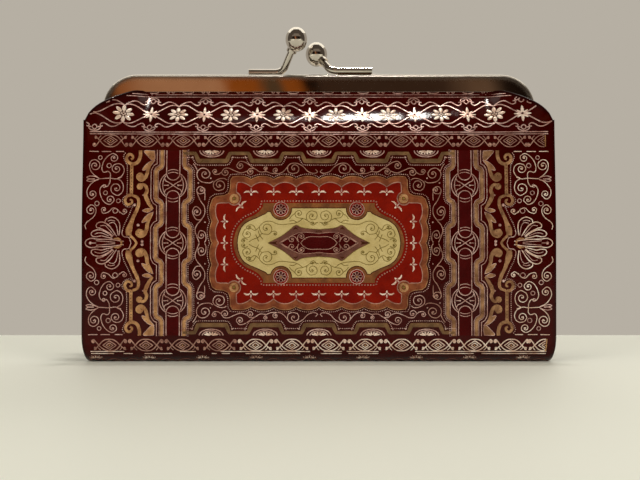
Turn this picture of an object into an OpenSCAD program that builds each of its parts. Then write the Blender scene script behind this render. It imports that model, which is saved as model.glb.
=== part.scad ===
// Kiss lock clutch: a folded leather pouch hung in a two-part hinged metal frame,
// shut by two balls that snap past each other. X is across, Y front to back, Z up from the base.

/* [Pouch] */
// Width of the pouch between its side edges
pouch_w = 176; // [150:1:210]
// Depth of the pouch at its base, front to back
pouch_d = 40; // [34:1:50]
// Height from the base to the top of the frame
pouch_h = 109; // [95:1:130]
// How far each face leans in between base and shoulder
face_lean = 0.4; // [0:0.1:2]
// Outside radius of the folds along the base
base_r = 11; // [8:0.5:13]
// Height of the shoulder, where the leather rolls in to the frame
shoulder_h = 22; // [18:0.5:26]
// Width of the rounded top corners
corner_w = 18; // [16:0.5:22]
// Roundness of the top corners, where 2 is an ellipse
corner_power = 5; // [3:0.1:7]
// How steeply the leather's edge falls round the top corners
corner_fall = 0.5; // [0.3:0.05:0.6]
// Depth of the gusset's fold at its top
gusset_fold = 10; // [4:0.5:12]
// How far the side edges draw in along the base
base_taper = 2; // [0:0.1:4]

/* [Sheet goods] */
// Thickness of the outer leather
leather_t = 1.2; // [0.8:0.1:1.6]
// Thickness of the gusset leather
gusset_t = 1.1; // [0.8:0.1:1.4]
// Thickness of the lining cloth
lining_t = 0.5; // [0.3:0.1:0.8]
// Thickness of the stiffening boards
board_t = 1; // [0.6:0.1:1.5]
// Thickness of the packing strip in each channel
packing_t = 0.7; // [0.5:0.1:1]
// Play between two layers
layer_gap = 0.1; // [0.05:0.01:0.15]

/* [Frame] */
// How far the frame stands in from the pouch's side edge
frame_inset = 5; // [4:0.5:8]
// Height of the frame's face
frame_face = 6.6; // [5.5:0.1:8]
// Thickness of the frame's sheet metal
frame_t = 0.8; // [0.6:0.1:1]
// Outside radius of the frame's corners
frame_corner_r = 13.2; // [11:0.1:16]
// Radius along the frame's outer edges
frame_edge_r = 1; // [0.6:0.1:1.4]
// Gap between the shut halves
frame_gap = 0.6; // [0.4:0.1:1]
// Drop from the top of the frame to the hinge
hinge_drop = 27; // [25:0.5:32]

/* [Hinge] */
// Radius of the round lugs
lug_r = 3.6; // [3:0.1:4]
// Radius of the rivet's shank
rivet_r = 1.2; // [0.9:0.1:1.6]
// Radius of the rivet's heads
rivet_head_r = 2.2; // [2:0.1:2.8]
// Height of the rivet's heads
rivet_head_h = 0.7; // [0.5:0.1:1]
// Running clearance of the hinge
hinge_play = 0.05; // [0.03:0.01:0.09]

/* [Lock] */
// Width of the two egg-shaped balls
ball_w = 8.4; // [7:0.1:10]
// Height of the two balls
ball_h = 9.6; // [7:0.1:11]
// Gap by which the balls pass each other
ball_gap = 0.4; // [0.3:0.01:0.6]
// Slope of the line from the front ball up to the rear ball
kiss_angle = 32; // [25:0.1:42]
// Sideways place of the front ball
front_ball_x = -1; // [-5:0.1:5]
// Clear height under the front ball
ball_lift = 4.1; // [3:0.1:6]
// How far each ball leans past the middle
ball_reach = 3; // [2:0.1:4]
// Diameter of the arms' wire
arm_d = 2.7; // [2:0.1:3.2]
// Bend radius of the arms
arm_bend_r = 4; // [3:0.1:5]
// Sideways run from the front ball to its arm's bend
front_arm_run = 5.5; // [5:0.1:8]
// Sideways run from the rear ball to its arm's bend
rear_arm_run = 5.4; // [5:0.1:8]
// Length of the front arm's foot, from the bend
front_foot_l = 15.9; // [12:0.1:20]
// Length of the rear arm's foot, from the bend
rear_foot_l = 13.2; // [10:0.1:20]
// Depth to which the arms enter the balls
arm_seat = 2.2; // [1.5:0.1:3]
// Radius of the collar under each ball
collar_r = 2; // [1.8:0.1:2.4]
// Height of the collar under each ball
collar_h = 1.1; // [0.6:0.1:1.6]

/* [Hidden] */
$fn = 48;
eps = 0.01;

burgundy = [0.27, 0.04, 0.05];
dark_burgundy = [0.2, 0.03, 0.04];
nickel = [0.78, 0.76, 0.72];
lining_red = [0.36, 0.07, 0.08];
board_grey = [0.6, 0.56, 0.5];

// Frame: each half is a U channel, wide enough for the layers that it holds
channel_gap = leather_t + lining_t + packing_t + 4 * layer_gap;
channel_d = channel_gap + 2 * frame_t;
rail_y = (frame_gap + channel_d) / 2;
face_y = frame_gap / 2 + channel_d;
frame_w = pouch_w - 2 * frame_inset;
frame_bottom = pouch_h - frame_face;
corner_x = frame_w / 2 - frame_corner_r;
corner_z = pouch_h - frame_corner_r;
hinge_z = pouch_h - hinge_drop;
lug_clear = 1.4;
leg_z = hinge_z + lug_r + lug_clear;

// Pouch: places on its profile, measured from the middle plane
half_w = pouch_w / 2;
base_y = pouch_d / 2;
shoulder_y = base_y - face_lean;
lip_drop = 1.2;
lip_z = frame_bottom - lip_drop;
shoulder_z = lip_z - shoulder_h;
channel_y = face_y - frame_t - layer_gap / 2;
clear = 0.35;
strip_top = pouch_h - frame_t - 2 * clear;

// Stations across the pouch: the tucked stretch, its two ends and the round corners
round_x = half_w - corner_w;
tuck_x = min(round_x, corner_x) - 4;
untuck_step = 0.6;
tuck_spans = 6;
corner_spans = 8;
tucked = [for (i = [0 : tuck_spans]) tuck_x * i / tuck_spans];
rounded = [for (i = [0 : corner_spans]) round_x + corner_w * sin(90 * i / corner_spans)];
right_stations = concat(tucked, [tuck_x + untuck_step], rounded);
stations = concat([for (i = [len(right_stations) - 1 : -1 : 1]) -right_stations[i]], right_stations);

// Steps along the profile
shoulder_spans = 8;
arc_spans = 5;
edge_spans = 2;

function lerp(a, b, t) = a + (b - a) * t;
function smooth(t) = let (c = max(0, min(1, t))) c * c * (3 - 2 * c);
function bezier(p, t) =
    p[0] * pow(1 - t, 3) + 3 * p[1] * t * pow(1 - t, 2) + 3 * p[2] * t * t * (1 - t) + p[3] * pow(t, 3);

// Height of the leather's top edge: under the channel, then along the frame's rim, then down to the side
side_edge_h = 4;
rim_gap = 0.2;
corner_ease = 1.5;
function edge_z(x) =
    let (past = max(0, abs(x) - round_x), fall = corner_fall * pow(past, 2) / (past + corner_ease))
    abs(x) <= tuck_x + untuck_step + eps ? lip_z
    : lerp(
        shoulder_z + side_edge_h,
        frame_bottom - rim_gap - fall,
        pow(max(0, 1 - pow(past / corner_w, corner_power)), 1 / corner_power)
    );

// Half depth of the leather's top edge: under the channel, then out over the frame's corner to the side
over_x = tuck_x - 1.8;
function edge_y(x) =
    abs(x) <= tuck_x + untuck_step + eps ? channel_y + layer_gap
    : lerp(channel_y + layer_gap, shoulder_y - eps, smooth((abs(x) - over_x) / (half_w - over_x)));

// Shoulder curve from the face up to the top edge, as half depth and height. It rolls over and then
// stands up again under the frame, and it is fuller towards the corners.
roll_start = 0.28;
roll_depth = 0.2;
roll_end = 0.33;
corner_fill = 0.4;
fill_lead = 12;
fill_w = 20;
function roll_at(x) = roll_depth + corner_fill * smooth((abs(x) - round_x + fill_lead) / fill_w);
function shoulder_curve(x) =
    let (top = [edge_y(x), edge_z(x)], foot = [shoulder_y, shoulder_z], rise = top[1] - foot[1])
    [
        foot,
        [foot[0], foot[1] + roll_start * rise],
        [lerp(top[0], foot[0], roll_at(x)), top[1] - roll_end * rise],
        top
    ];

// The last two points: up into the channel where the edge is tucked, along the curve elsewhere
function edge_points(x) =
    abs(x) <= tuck_x + eps ? [[channel_y, frame_bottom + clear], [channel_y, strip_top]]
    : abs(x) <= tuck_x + untuck_step + eps ? [for (z = [lip_z + clear, frame_bottom - rim_gap]) [channel_y, z]]
    : [];

// Half profile from the middle of the base up to the top edge
function half_profile(x) =
    let (
        curve = shoulder_curve(x),
        ends = edge_points(x),
        spans = shoulder_spans + edge_spans - len(ends)
    )
    concat(
        [[0, 0]],
        [for (i = [0 : arc_spans]) let (a = 90 * i / arc_spans)
            [base_y - base_r + base_r * sin(a), base_r - base_r * cos(a)]],
        [for (i = [0 : spans]) bezier(curve, i / spans)],
        ends
    );

// Side edge of the pouch at a height: drawn in along the base
taper_h = 11;
function side_x(z) = half_w - base_taper * pow(max(0, 1 - z / taper_h), 2);

// Whole column of the sheet at one station, from the front edge round the base to the back edge
function column(x) =
    let (h = half_profile(x), place = [for (p = h) x * side_x(p[1]) / half_w])
    concat(
        [for (i = [len(h) - 1 : -1 : 0]) [place[i], -h[i][0], h[i][1]]],
        [for (i = [1 : len(h) - 1]) [place[i], h[i][0], h[i][1]]]
    );

// Unit normal of a grid at one point, pointing out of the pouch
function grid_normal(g, i, j) =
    let (
        across = g[min(i + 1, len(g) - 1)][j] - g[max(i - 1, 0)][j],
        along = g[i][min(j + 1, len(g[0]) - 1)] - g[i][max(j - 1, 0)],
        n = cross(along, across)
    )
    n / norm(n);

// Moves a grid inwards by a depth that may change along the column
function inset_grid(g, depths) =
    [for (i = [0 : len(g) - 1]) [for (j = [0 : len(g[0]) - 1]) g[i][j] - depths[j] * grid_normal(g, i, j)]];

// Closed sheet between two grids of the same size
module sheet(outer, inner) {
    rows = len(outer);
    cols = len(outer[0]);
    flat = concat([for (r = outer) each r], [for (r = inner) each r]);
    under = rows * cols;
    function at(i, j) = i * cols + j;
    function quad(a, b, c, d) = [[a, b, c], [a, c, d]];
    faces = concat(
        [for (i = [0 : rows - 2], j = [0 : cols - 2])
            each quad(at(i, j), at(i, j + 1), at(i + 1, j + 1), at(i + 1, j))],
        [for (i = [0 : rows - 2], j = [0 : cols - 2])
            each quad(under + at(i, j), under + at(i + 1, j), under + at(i + 1, j + 1), under + at(i, j + 1))],
        [for (i = [0 : rows - 2]) each quad(at(i, 0), at(i + 1, 0), under + at(i + 1, 0), under + at(i, 0))],
        [for (i = [0 : rows - 2]) let (e = cols - 1)
            each quad(at(i + 1, e), at(i, e), under + at(i, e), under + at(i + 1, e))],
        [for (j = [0 : cols - 2]) each quad(at(0, j + 1), at(0, j), under + at(0, j), under + at(0, j + 1))],
        [for (j = [0 : cols - 2]) let (e = rows - 1)
            each quad(at(e, j), at(e, j + 1), under + at(e, j + 1), under + at(e, j))]
    );
    polyhedron(flat, faces, convexity = 8);
}

// Outer leather, tucked in both channels
pouch_grid = [for (x = stations) column(x)];
column_n = len(pouch_grid[0]);

module outer_leather() {
    color(burgundy)
        sheet(pouch_grid, inset_grid(pouch_grid, [for (j = [1 : column_n]) leather_t]));
}

// Lining: as wide as the room between the frame's legs, clear of the boards on the faces
lining_half_w = frame_w / 2 - frame_face - 2;
lining_stations = concat(
    [for (x = stations) if (x < 0 && -x < lining_half_w - 1) x],
    [for (x = stations) if (x >= 0 && x < lining_half_w - 1) x]
);
lining_grid = [for (x = concat([-lining_half_w], lining_stations, [lining_half_w])) column(x)];
lining_tight = leather_t + layer_gap;
lining_loose = lining_tight + board_t + layer_gap;

// Share of the looser depth at each point: none in the channel, all of it on the faces
function lining_share(j) =
    let (k = min(j, column_n - 1 - j)) smooth((k - edge_spans) / (shoulder_spans - 1));
function lining_depths(extra) =
    [for (j = [0 : column_n - 1]) lerp(lining_tight, lining_loose, lining_share(j)) + extra];

module lining() {
    color(lining_red)
        sheet(inset_grid(lining_grid, lining_depths(0)), inset_grid(lining_grid, lining_depths(lining_t)));
}

// Stiffening boards between leather and lining, on the flat of each face
board_margin = 3;
board_corner_r = 4;
board_lean = atan(face_lean / (shoulder_z - base_r));
board_h = shoulder_z - base_r - 2 * board_margin;
board_w = pouch_w - 2 * (gusset_t + 2 * board_margin);

module rounded_plate(w, h, t, r) {
    linear_extrude(t) {
        translate([-w / 2 + r, 0]) square([w - 2 * r, h]);
        translate([-w / 2, r]) square([w, h - 2 * r]);
        for (x = [-w / 2 + r, w / 2 - r], y = [r, h - r]) translate([x, y]) circle(r);
    }
}

module front_board() {
    color(board_grey)
        translate([0, -base_y, base_r])
            rotate([90 - board_lean, 0, 0])
                translate([0, board_margin, -leather_t - layer_gap - board_t])
                    rounded_plate(board_w, board_h, board_t, board_corner_r);
}

module back_board() mirror([0, 1, 0]) front_board();

// Folded gusset: its edges lie inside the faces, and its fold points into the pouch
gusset_rows = 12;
gusset_cols = 12;
gusset_edge_in = 1;
gusset_base_z = leather_t + clear;
gusset_top_z = hinge_z - lug_r - 0.8;
gusset_base_fold = gusset_fold / 3;

// Half depth inside the leather at a height
function inside_y(z) =
    let (inner_r = base_r - leather_t)
    (z < base_r ? base_y - base_r + sqrt(pow(inner_r, 2) - pow(base_r - z, 2))
        : base_y - leather_t - face_lean * (z - base_r) / (shoulder_z - base_r)) - clear;

function gusset_point(row, col, depth) =
    let (
        t = row / gusset_rows,
        z = lerp(gusset_base_z, gusset_top_z, pow(t, 1.3)),
        v = 2 * col / gusset_cols - 1,
        fold = lerp(gusset_base_fold, gusset_fold, t)
    )
    [side_x(z) - gusset_edge_in - fold * (0.5 + 0.5 * cos(180 * v)) - depth, v * inside_y(z), z];

module right_gusset() {
    color(dark_burgundy)
        sheet(
            [for (i = [0 : gusset_rows]) [for (j = [0 : gusset_cols]) gusset_point(i, j, gusset_t)]],
            [for (i = [0 : gusset_rows]) [for (j = [0 : gusset_cols]) gusset_point(i, j, 0)]]
        );
}

module left_gusset() mirror([1, 0, 0]) right_gusset();

// Section of the channel: its open edge at the bottom, centred front to back
module channel_section() {
    difference() {
        union() {
            translate([-channel_d / 2, 0]) square([channel_d, frame_face - frame_edge_r]);
            translate([-channel_d / 2 + frame_edge_r, 0]) square([channel_d - 2 * frame_edge_r, frame_face]);
            for (s = [-1, 1])
                translate([s * (channel_d / 2 - frame_edge_r), frame_face - frame_edge_r]) circle(frame_edge_r);
        }
        translate([-channel_gap / 2, -frame_t]) square([channel_gap, frame_face]);
    }
}

// One corner and leg of the channel, on the right
module channel_end() {
    translate([corner_x, 0, corner_z])
        rotate([90, 0, 0])
            rotate_extrude(angle = 90)
                translate([frame_corner_r - frame_face, 0]) rotate(-90) channel_section();
    translate([frame_w / 2 - frame_face, 0, leg_z])
        linear_extrude(corner_z - leg_z) rotate(-90) channel_section();
}

// The swept channel of one half, centred on its own rail
module channel() {
    translate([-corner_x, 0, frame_bottom])
        rotate([90, 0, 90]) linear_extrude(2 * corner_x) channel_section();
    channel_end();
    mirror([1, 0, 0]) channel_end();
}

// Hinge lug on the right, a plate across X, joined up to a leg at rail_side times rail_y
lug_outer_x = frame_w / 2;
lug_step = frame_t + 2 * hinge_play;
module lug(x, rail_side, neck_top) {
    translate([x - frame_t, 0, 0])
        rotate([90, 0, 90])
            linear_extrude(frame_t)
                difference() {
                    union() {
                        translate([0, hinge_z]) circle(lug_r);
                        translate([rail_side * rail_y - channel_d / 2, hinge_z])
                            square([channel_d, neck_top - hinge_z]);
                    }
                    translate([0, hinge_z]) circle(rivet_r + hinge_play);
                }
}

module front_frame() {
    color(nickel) {
        translate([0, -rail_y, 0]) channel();
        for (side = [0, 1]) mirror([side, 0, 0]) lug(lug_outer_x, -1, leg_z + frame_t);
    }
}

module rear_frame() {
    color(nickel) {
        translate([0, rail_y, 0]) channel();
        for (side = [0, 1]) mirror([side, 0, 0]) lug(lug_outer_x - lug_step, 1, leg_z + lug_r);
    }
}

// Hinge rivet on the right: its inner head bears on the rear lug, its outer head clears the front lug
rivet_inner_x = lug_outer_x - lug_step - frame_t;
rivet_outer_x = lug_outer_x + hinge_play;

module right_rivet() {
    color(nickel)
        rotate([90, 0, 90]) {
            translate([0, hinge_z, rivet_inner_x - rivet_head_h]) cylinder(r = rivet_head_r, h = rivet_head_h);
            translate([0, hinge_z, rivet_inner_x - eps])
                cylinder(r = rivet_r, h = rivet_outer_x - rivet_inner_x + 2 * eps);
            translate([0, hinge_z, rivet_outer_x])
                cylinder(r1 = rivet_head_r, r2 = rivet_head_r * 0.7, h = rivet_head_h);
        }
}

module left_rivet() mirror([1, 0, 0]) right_rivet();

// Packing strip behind the lining, along the tucked stretch of the front channel
packing_y = channel_y - leather_t - lining_t - 2 * layer_gap;
packing_h = strip_top - frame_bottom - 2 * clear;

module front_packing() {
    color(board_grey)
        translate([-tuck_x, -packing_y, frame_bottom + clear])
            cube([2 * tuck_x, packing_t, packing_h]);
}

module rear_packing() mirror([0, 1, 0]) front_packing();

// Lock: an arm runs along its foot on the frame's top, bends up and leans over to its ball
bend_swell = 0.06;
bend_lap = 0.3;
braze_h = 0.4;
foot_lift = arm_d / 2 + braze_h;
braze_w = arm_d * 0.6;
braze_inset = 0.4;
foot_z = pouch_h + foot_lift;
ball_span = 2 / norm([cos(kiss_angle) / (ball_w / 2), sin(kiss_angle) / (ball_h / 2)]);
ball_pitch = ball_span + ball_gap;
front_ball_z = pouch_h + ball_lift + ball_h / 2;
rear_ball_x = front_ball_x - ball_pitch * cos(kiss_angle);
rear_ball_z = front_ball_z + ball_pitch * sin(kiss_angle);
lean_y = rail_y + ball_reach;
bore_play = 0.03;
collar_sink = 0.4;

// Lean, rise along the lean, slope and length of a stem that goes up dz and sideways run
function stem_lean(dz) = atan2(lean_y, dz);
function stem_slope(dz, run) = atan2(norm([lean_y, dz]), run);
function stem_length(dz, run) = norm([lean_y, dz, run]);

// Turns +Z along the stem of an arm
module along_stem(dz, run)
    rotate([-stem_lean(dz), 0, 0]) rotate([0, stem_slope(dz, run) - 90, 0]) children();

// Arm with its foot towards +X from the bend and its stem leaning towards +Y
module lock_arm(dz, run, foot_l) {
    slope = stem_slope(dz, run);
    tangent = arm_bend_r * tan(slope / 2);
    tip = stem_length(dz, run) - ball_w / 2 + arm_seat;
    translate([tangent + braze_inset, -braze_w / 2, -foot_lift])
        cube([foot_l - tangent - 2 * braze_inset, braze_w, foot_lift]);
    translate([tangent - bend_lap, 0, 0])
        rotate([0, 90, 0]) cylinder(d = arm_d, h = foot_l - tangent + bend_lap);
    rotate([-stem_lean(dz), 0, 0])
        translate([tangent, 0, arm_bend_r])
            rotate([90, 0, 0])
                rotate([0, 0, -90 - slope])
                    rotate_extrude(angle = slope)
                        translate([arm_bend_r, 0]) circle(d = arm_d + 2 * bend_swell);
    along_stem(dz, run)
        translate([0, 0, tangent - bend_lap]) cylinder(d = arm_d, h = tip - tangent + bend_lap);
}

// Ball in the place where that arm holds it, egg shaped, with a collar and a bore for the arm's tip
ball_steps = 28;
ball_outline = [for (i = [0 : ball_steps]) let (a = 180 * i / ball_steps)
    [i % ball_steps == 0 ? 0 : ball_w / 2 * sin(a), -ball_h / 2 * cos(a)]];

module lock_ball(dz, run) {
    seat = stem_length(dz, run) - ball_w / 2;
    difference() {
        union() {
            translate([-run, lean_y, dz]) rotate_extrude() polygon(ball_outline);
            along_stem(dz, run) translate([0, 0, seat - collar_h]) cylinder(r = collar_r, h = collar_h + collar_sink);
        }
        along_stem(dz, run)
            cylinder(d = arm_d + 2 * bore_play, h = seat + arm_seat + bore_play);
    }
}

module at_front_bend() translate([front_ball_x + front_arm_run, -rail_y, foot_z]) children();

module at_rear_bend()
    translate([rear_ball_x - rear_arm_run, rail_y, foot_z]) rotate([0, 0, 180]) children();

module front_arm() color(nickel) at_front_bend() lock_arm(front_ball_z - foot_z, front_arm_run, front_foot_l);
module rear_arm() color(nickel) at_rear_bend() lock_arm(rear_ball_z - foot_z, rear_arm_run, rear_foot_l);
module front_ball() color(nickel) at_front_bend() lock_ball(front_ball_z - foot_z, front_arm_run);
module rear_ball() color(nickel) at_rear_bend() lock_ball(rear_ball_z - foot_z, rear_arm_run);

outer_leather();
left_gusset();
right_gusset();
lining();
front_board();
back_board();
front_frame();
rear_frame();
left_rivet();
right_rivet();
front_packing();
rear_packing();
front_arm();
rear_arm();
front_ball();
rear_ball();
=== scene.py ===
"""Kiss lock clutch: gold tooled burgundy leather on a hinged nickel frame."""

import math

import bmesh
import bpy
import numpy as np
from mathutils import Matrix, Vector
from mathutils.geometry import tessellate_polygon


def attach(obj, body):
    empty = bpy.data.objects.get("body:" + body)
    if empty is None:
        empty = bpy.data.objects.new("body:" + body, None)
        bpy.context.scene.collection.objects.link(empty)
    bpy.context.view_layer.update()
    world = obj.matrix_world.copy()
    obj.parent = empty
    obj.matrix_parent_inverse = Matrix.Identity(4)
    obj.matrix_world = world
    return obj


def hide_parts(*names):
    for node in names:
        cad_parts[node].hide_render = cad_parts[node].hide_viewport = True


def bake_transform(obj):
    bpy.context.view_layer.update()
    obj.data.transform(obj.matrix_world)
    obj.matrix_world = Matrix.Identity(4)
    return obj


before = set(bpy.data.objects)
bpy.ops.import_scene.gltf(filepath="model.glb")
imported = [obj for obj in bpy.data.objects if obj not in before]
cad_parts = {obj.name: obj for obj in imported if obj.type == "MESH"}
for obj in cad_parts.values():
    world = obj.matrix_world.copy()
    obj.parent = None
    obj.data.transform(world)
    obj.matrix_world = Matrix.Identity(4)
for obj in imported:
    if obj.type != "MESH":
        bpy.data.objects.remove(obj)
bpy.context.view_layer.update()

# Sizes in millimetres. They follow the part's source, with a tighter fold at the base and softer corners.
MM = 0.001
HALF_W = 88.0
BASE_Y, SHOULDER_Y = 20.0, 19.6
BASE_R, SHOULDER_Z = 8.8, 79.2
BASE_TAPER, TAPER_H = 0.9, 11.0
TOP_TAPER, TOP_TAPER_Z, TOP_TAPER_H = 0.008, 45.0, 55.0
LIP_Y, LIP_Z, SIDE_LIP_Y = 3.95, 101.2, 19.59
RIM_LIFT, RIM_X, RIM_RUN = 1.0, 65.0, 5.0
TUCK, TUCK_X, TUCK_RUN = 3.4, 62.0, 4.0
ROUND_X, CORNER_W, CORNER_POWER = 70.0, 18.0, 3.8
CORNER_FALL, CORNER_EASE = 0.5, 1.5
EDGE_LOW, OVER_X, FREE_X, EDGE_DARK_RUN = 83.2, 64.0, 66.0, 1.8
LEATHER_T, LINING_T, GUSSET_T = 1.2, 0.5, 1.1
ARC_END = BASE_R - BASE_R * math.pi / 2
BASE_MIDDLE = ARC_END - (BASE_Y - BASE_R)

# Fullness of the shoulder's curve in the middle, what it gains to the sides, and the pull at its two ends.
FULL, FULL_GAIN, FULL_X, FULL_RUN = 0.2, 0.4, 32.0, 54.0
FOOT_PULL, LIP_PULL = 0.28, 0.33

# Roll along the shoulder: its height, place up the leather, width, slope across and where it dies away.
ROLL, ROLL_S, ROLL_W, ROLL_RISE = 0.17, 91.6, 2.4, 0.03
ROLL_X, ROLL_RUN = 64.0, 20.0
# Unevenness of the drawn in leather: its height, and where it comes and goes.
DRAWN = 0.05
DRAWN_LOW, DRAWN_LOW_RUN = 84.0, 12.0
DRAWN_TOP, DRAWN_TOP_RUN = 108.0, 5.0
DRAWN_X, DRAWN_X_RUN = 86.0, 12.0
# Its waves across: the share of each, its turn in a millimetre and its shift, in radians.
WAVES = ((0.6, 0.46, 0.9), (0.5, 0.21, -1.3), (0.35, 0.83, 0.0))

# Points that are worked out at a time.
BATCH = 20000

# One step of the tooled pattern, and the height of its middle.
STEP = 0.37
FIELD_Z = 44.4


def smooth(t):
    t = np.clip(t, 0, 1)
    return t * t * (3 - 2 * t)


# The leather's surface: x across, s up along the leather from the base.


def side_scale(z):
    low = BASE_TAPER / HALF_W * np.clip(1 - z / TAPER_H, 0, 1) ** 2
    return 1 - low - TOP_TAPER * smooth((z - TOP_TAPER_Z) / TOP_TAPER_H)


def leather_edge(x):
    """Depth and height of the leather's upper edge."""
    ax = np.clip(np.abs(x), 0, HALF_W)
    past = np.clip(ax - ROUND_X, 0, None)
    fall = LIP_Z + RIM_LIFT * smooth((ax - RIM_X) / RIM_RUN) - CORNER_FALL * past**2 / (past + CORNER_EASE)
    t = np.clip(1 - (past / CORNER_W) ** CORNER_POWER, 0, 1) ** (1 / CORNER_POWER)
    over = smooth((ax - OVER_X) / (HALF_W - OVER_X))
    return LIP_Y + (SIDE_LIP_Y - LIP_Y) * over, EDGE_LOW + (fall - EDGE_LOW) * t


def shoulder_line(x, steps=40):
    """Points of the shoulder's curve for each x, and their length from its foot."""
    top_y, top_z = leather_edge(x)
    rise = top_z - SHOULDER_Z
    t = np.linspace(0, 1, steps)[None, :]
    weights = ((1 - t) ** 3, 3 * t * (1 - t) ** 2, 3 * t**2 * (1 - t), t**3)
    full = FULL + FULL_GAIN * smooth((np.abs(x) - FULL_X) / FULL_RUN)
    mid_y = top_y + (SHOULDER_Y - top_y) * full
    ys = (SHOULDER_Y + 0 * top_y, SHOULDER_Y + 0 * top_y, mid_y, top_y)
    zs = (SHOULDER_Z + 0 * rise, SHOULDER_Z + FOOT_PULL * rise, top_z - LIP_PULL * rise, top_z)
    y = sum(w * p[:, None] for w, p in zip(weights, ys))
    z = sum(w * p[:, None] for w, p in zip(weights, zs))
    long = np.hypot(np.diff(y, axis=1), np.diff(z, axis=1))
    return y, z, np.concatenate([np.zeros((len(x), 1)), np.cumsum(long, axis=1)], axis=1)


def edge_s(x):
    return SHOULDER_Z + shoulder_line(np.atleast_1d(np.asarray(x, float)))[2][:, -1]


def tuck(x):
    """Length of leather that goes on into the frame's channel."""
    ax = np.abs(x)
    return TUCK * (1 - smooth((ax - TUCK_X) / TUCK_RUN)) + RIM_LIFT * (1 - smooth((ax - RIM_X) / RIM_RUN))


def drawn_in(s):
    """Batches of the points that lie above the shoulder's foot."""
    batches = np.array_split(np.flatnonzero(s > SHOULDER_Z), max(1, len(s) // BATCH))
    return [some for some in batches if len(some)]


def front_point(x, s):
    """Points of the front leather's outer surface."""
    x, s = np.asarray(x, float), np.asarray(s, float)
    angle = np.clip((BASE_R - s) / BASE_R, 0, math.pi / 2)
    y = BASE_Y - BASE_R + BASE_R * np.cos(angle) - np.clip(ARC_END - s, 0, None)
    z = BASE_R - BASE_R * np.sin(angle)
    face = s > BASE_R
    lean = (s - BASE_R) / (SHOULDER_Z - BASE_R)
    y = np.where(face, BASE_Y - (BASE_Y - SHOULDER_Y) * lean, y)
    z = np.where(face, s, z)
    for some in drawn_in(s):
        cy, cz, cl = shoulder_line(x[some])
        far = s[some] - SHOULDER_Z
        i = np.clip((cl <= far[:, None]).sum(axis=1) - 1, 0, cl.shape[1] - 2)
        k = np.arange(len(some))
        f = np.clip((far - cl[k, i]) / np.maximum(cl[k, i + 1] - cl[k, i], 1e-9), 0, 1)
        y[some] = cy[k, i] + f * (cy[k, i + 1] - cy[k, i])
        z[some] = cz[k, i] + f * (cz[k, i + 1] - cz[k, i])
        z[some] += np.clip(far - cl[:, -1], 0, None)
    return np.column_stack([x * side_scale(z), -y, z])


def front_normal(x, s):
    e = 0.06
    across = front_point(x + e, s) - front_point(x - e, s)
    along = front_point(x, s + e) - front_point(x, s - e)
    n = np.cross(across, along)
    return n / np.maximum(np.linalg.norm(n, axis=1), 1e-9)[:, None]


def pucker(x, s):
    """Soft roll along the shoulder, and the leather's unevenness where it is drawn in to the frame."""
    off = (s - ROLL_S - ROLL_RISE * x) / ROLL_W
    roll = ROLL * np.exp(-(off**2) / 2) * smooth((ROLL_X - np.abs(x)) / ROLL_RUN)
    near = smooth((s - DRAWN_LOW) / DRAWN_LOW_RUN) * smooth((DRAWN_TOP - s) / DRAWN_TOP_RUN)
    near = near * smooth((DRAWN_X - np.abs(x)) / DRAWN_X_RUN)
    wave = sum(part * np.sin(x * turn + shift) for part, turn, shift in WAVES)
    return roll + DRAWN * near * wave


def level(x, s):
    """Length up the leather at x that is as high as s is in the middle."""
    x, s = np.asarray(x, float), np.array(s, float)
    _, mid_z, mid_long = shoulder_line(np.zeros(1))
    for some in drawn_in(s):
        far = s[some] - SHOULDER_Z
        height = np.interp(far, mid_long[0], mid_z[0]) + np.clip(far - mid_long[0, -1], 0, None)
        _, cz, cl = shoulder_line(x[some])
        for i, h, row_z, row_long in zip(some, height, cz, cl):
            s[i] = SHOULDER_Z + np.interp(h, row_z, row_long) + max(0, h - row_z[-1])
    return s


def on_front(points):
    """Pattern points (x, s, relief) laid on the front leather."""
    x, s, h = points[:, 0], points[:, 1], points[:, 2]
    return front_point(x, s) + (h + pucker(x, s))[:, None] * front_normal(x, s)


# Meshes.


def placed(name, data):
    """Object of this name, put in the scene."""
    obj = bpy.data.objects.new(name, data)
    bpy.context.scene.collection.objects.link(obj)
    return obj


def make(name, verts, faces, material, edge):
    """Smooth piece from points in millimetres, with how much darker its edges are at each point."""
    mesh = bpy.data.meshes.new(name)
    mesh.from_pydata([tuple(v) for v in np.asarray(verts) * MM], [], [list(f) for f in faces])
    mesh.materials.append(material)
    face_out(mesh, True)
    worn = mesh.attributes.new("edge", "FLOAT", "POINT")
    worn.data.foreach_set("value", edge)
    return placed(name, mesh)


def face_out(mesh, smooth_shade):
    bm = bmesh.new()
    bm.from_mesh(mesh)
    bmesh.ops.recalc_face_normals(bm, faces=bm.faces)
    bm.to_mesh(mesh)
    bm.free()
    mesh.polygons.foreach_set("use_smooth", [smooth_shade] * len(mesh.polygons))
    mesh.update()


def turned(obj, name):
    """The same piece for the back, turned half round the upright axis."""
    mesh = obj.data.copy()
    mesh.name = name
    co = np.empty(len(mesh.vertices) * 3)
    mesh.vertices.foreach_get("co", co)
    co = co.reshape(-1, 3) * (-1, -1, 1)
    mesh.vertices.foreach_set("co", co.ravel())
    mesh.update()
    return placed(name, mesh)


def sheet_rows(top, shoulder=46, face=36, base=20, flat=6):
    """Heights of a sheet's rows, from its upper edge to the middle of the base."""
    rows = [lambda x, r=r: SHOULDER_Z + r * (top(x) - SHOULDER_Z) for r in np.linspace(1, 0, shoulder)]
    for a, b, n in ((SHOULDER_Z, BASE_R, face), (BASE_R, ARC_END, base), (ARC_END, BASE_MIDDLE, flat)):
        rows += [lambda x, s=s: s + 0 * x for s in np.linspace(a, b, n + 1)[1:]]
    return rows


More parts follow.
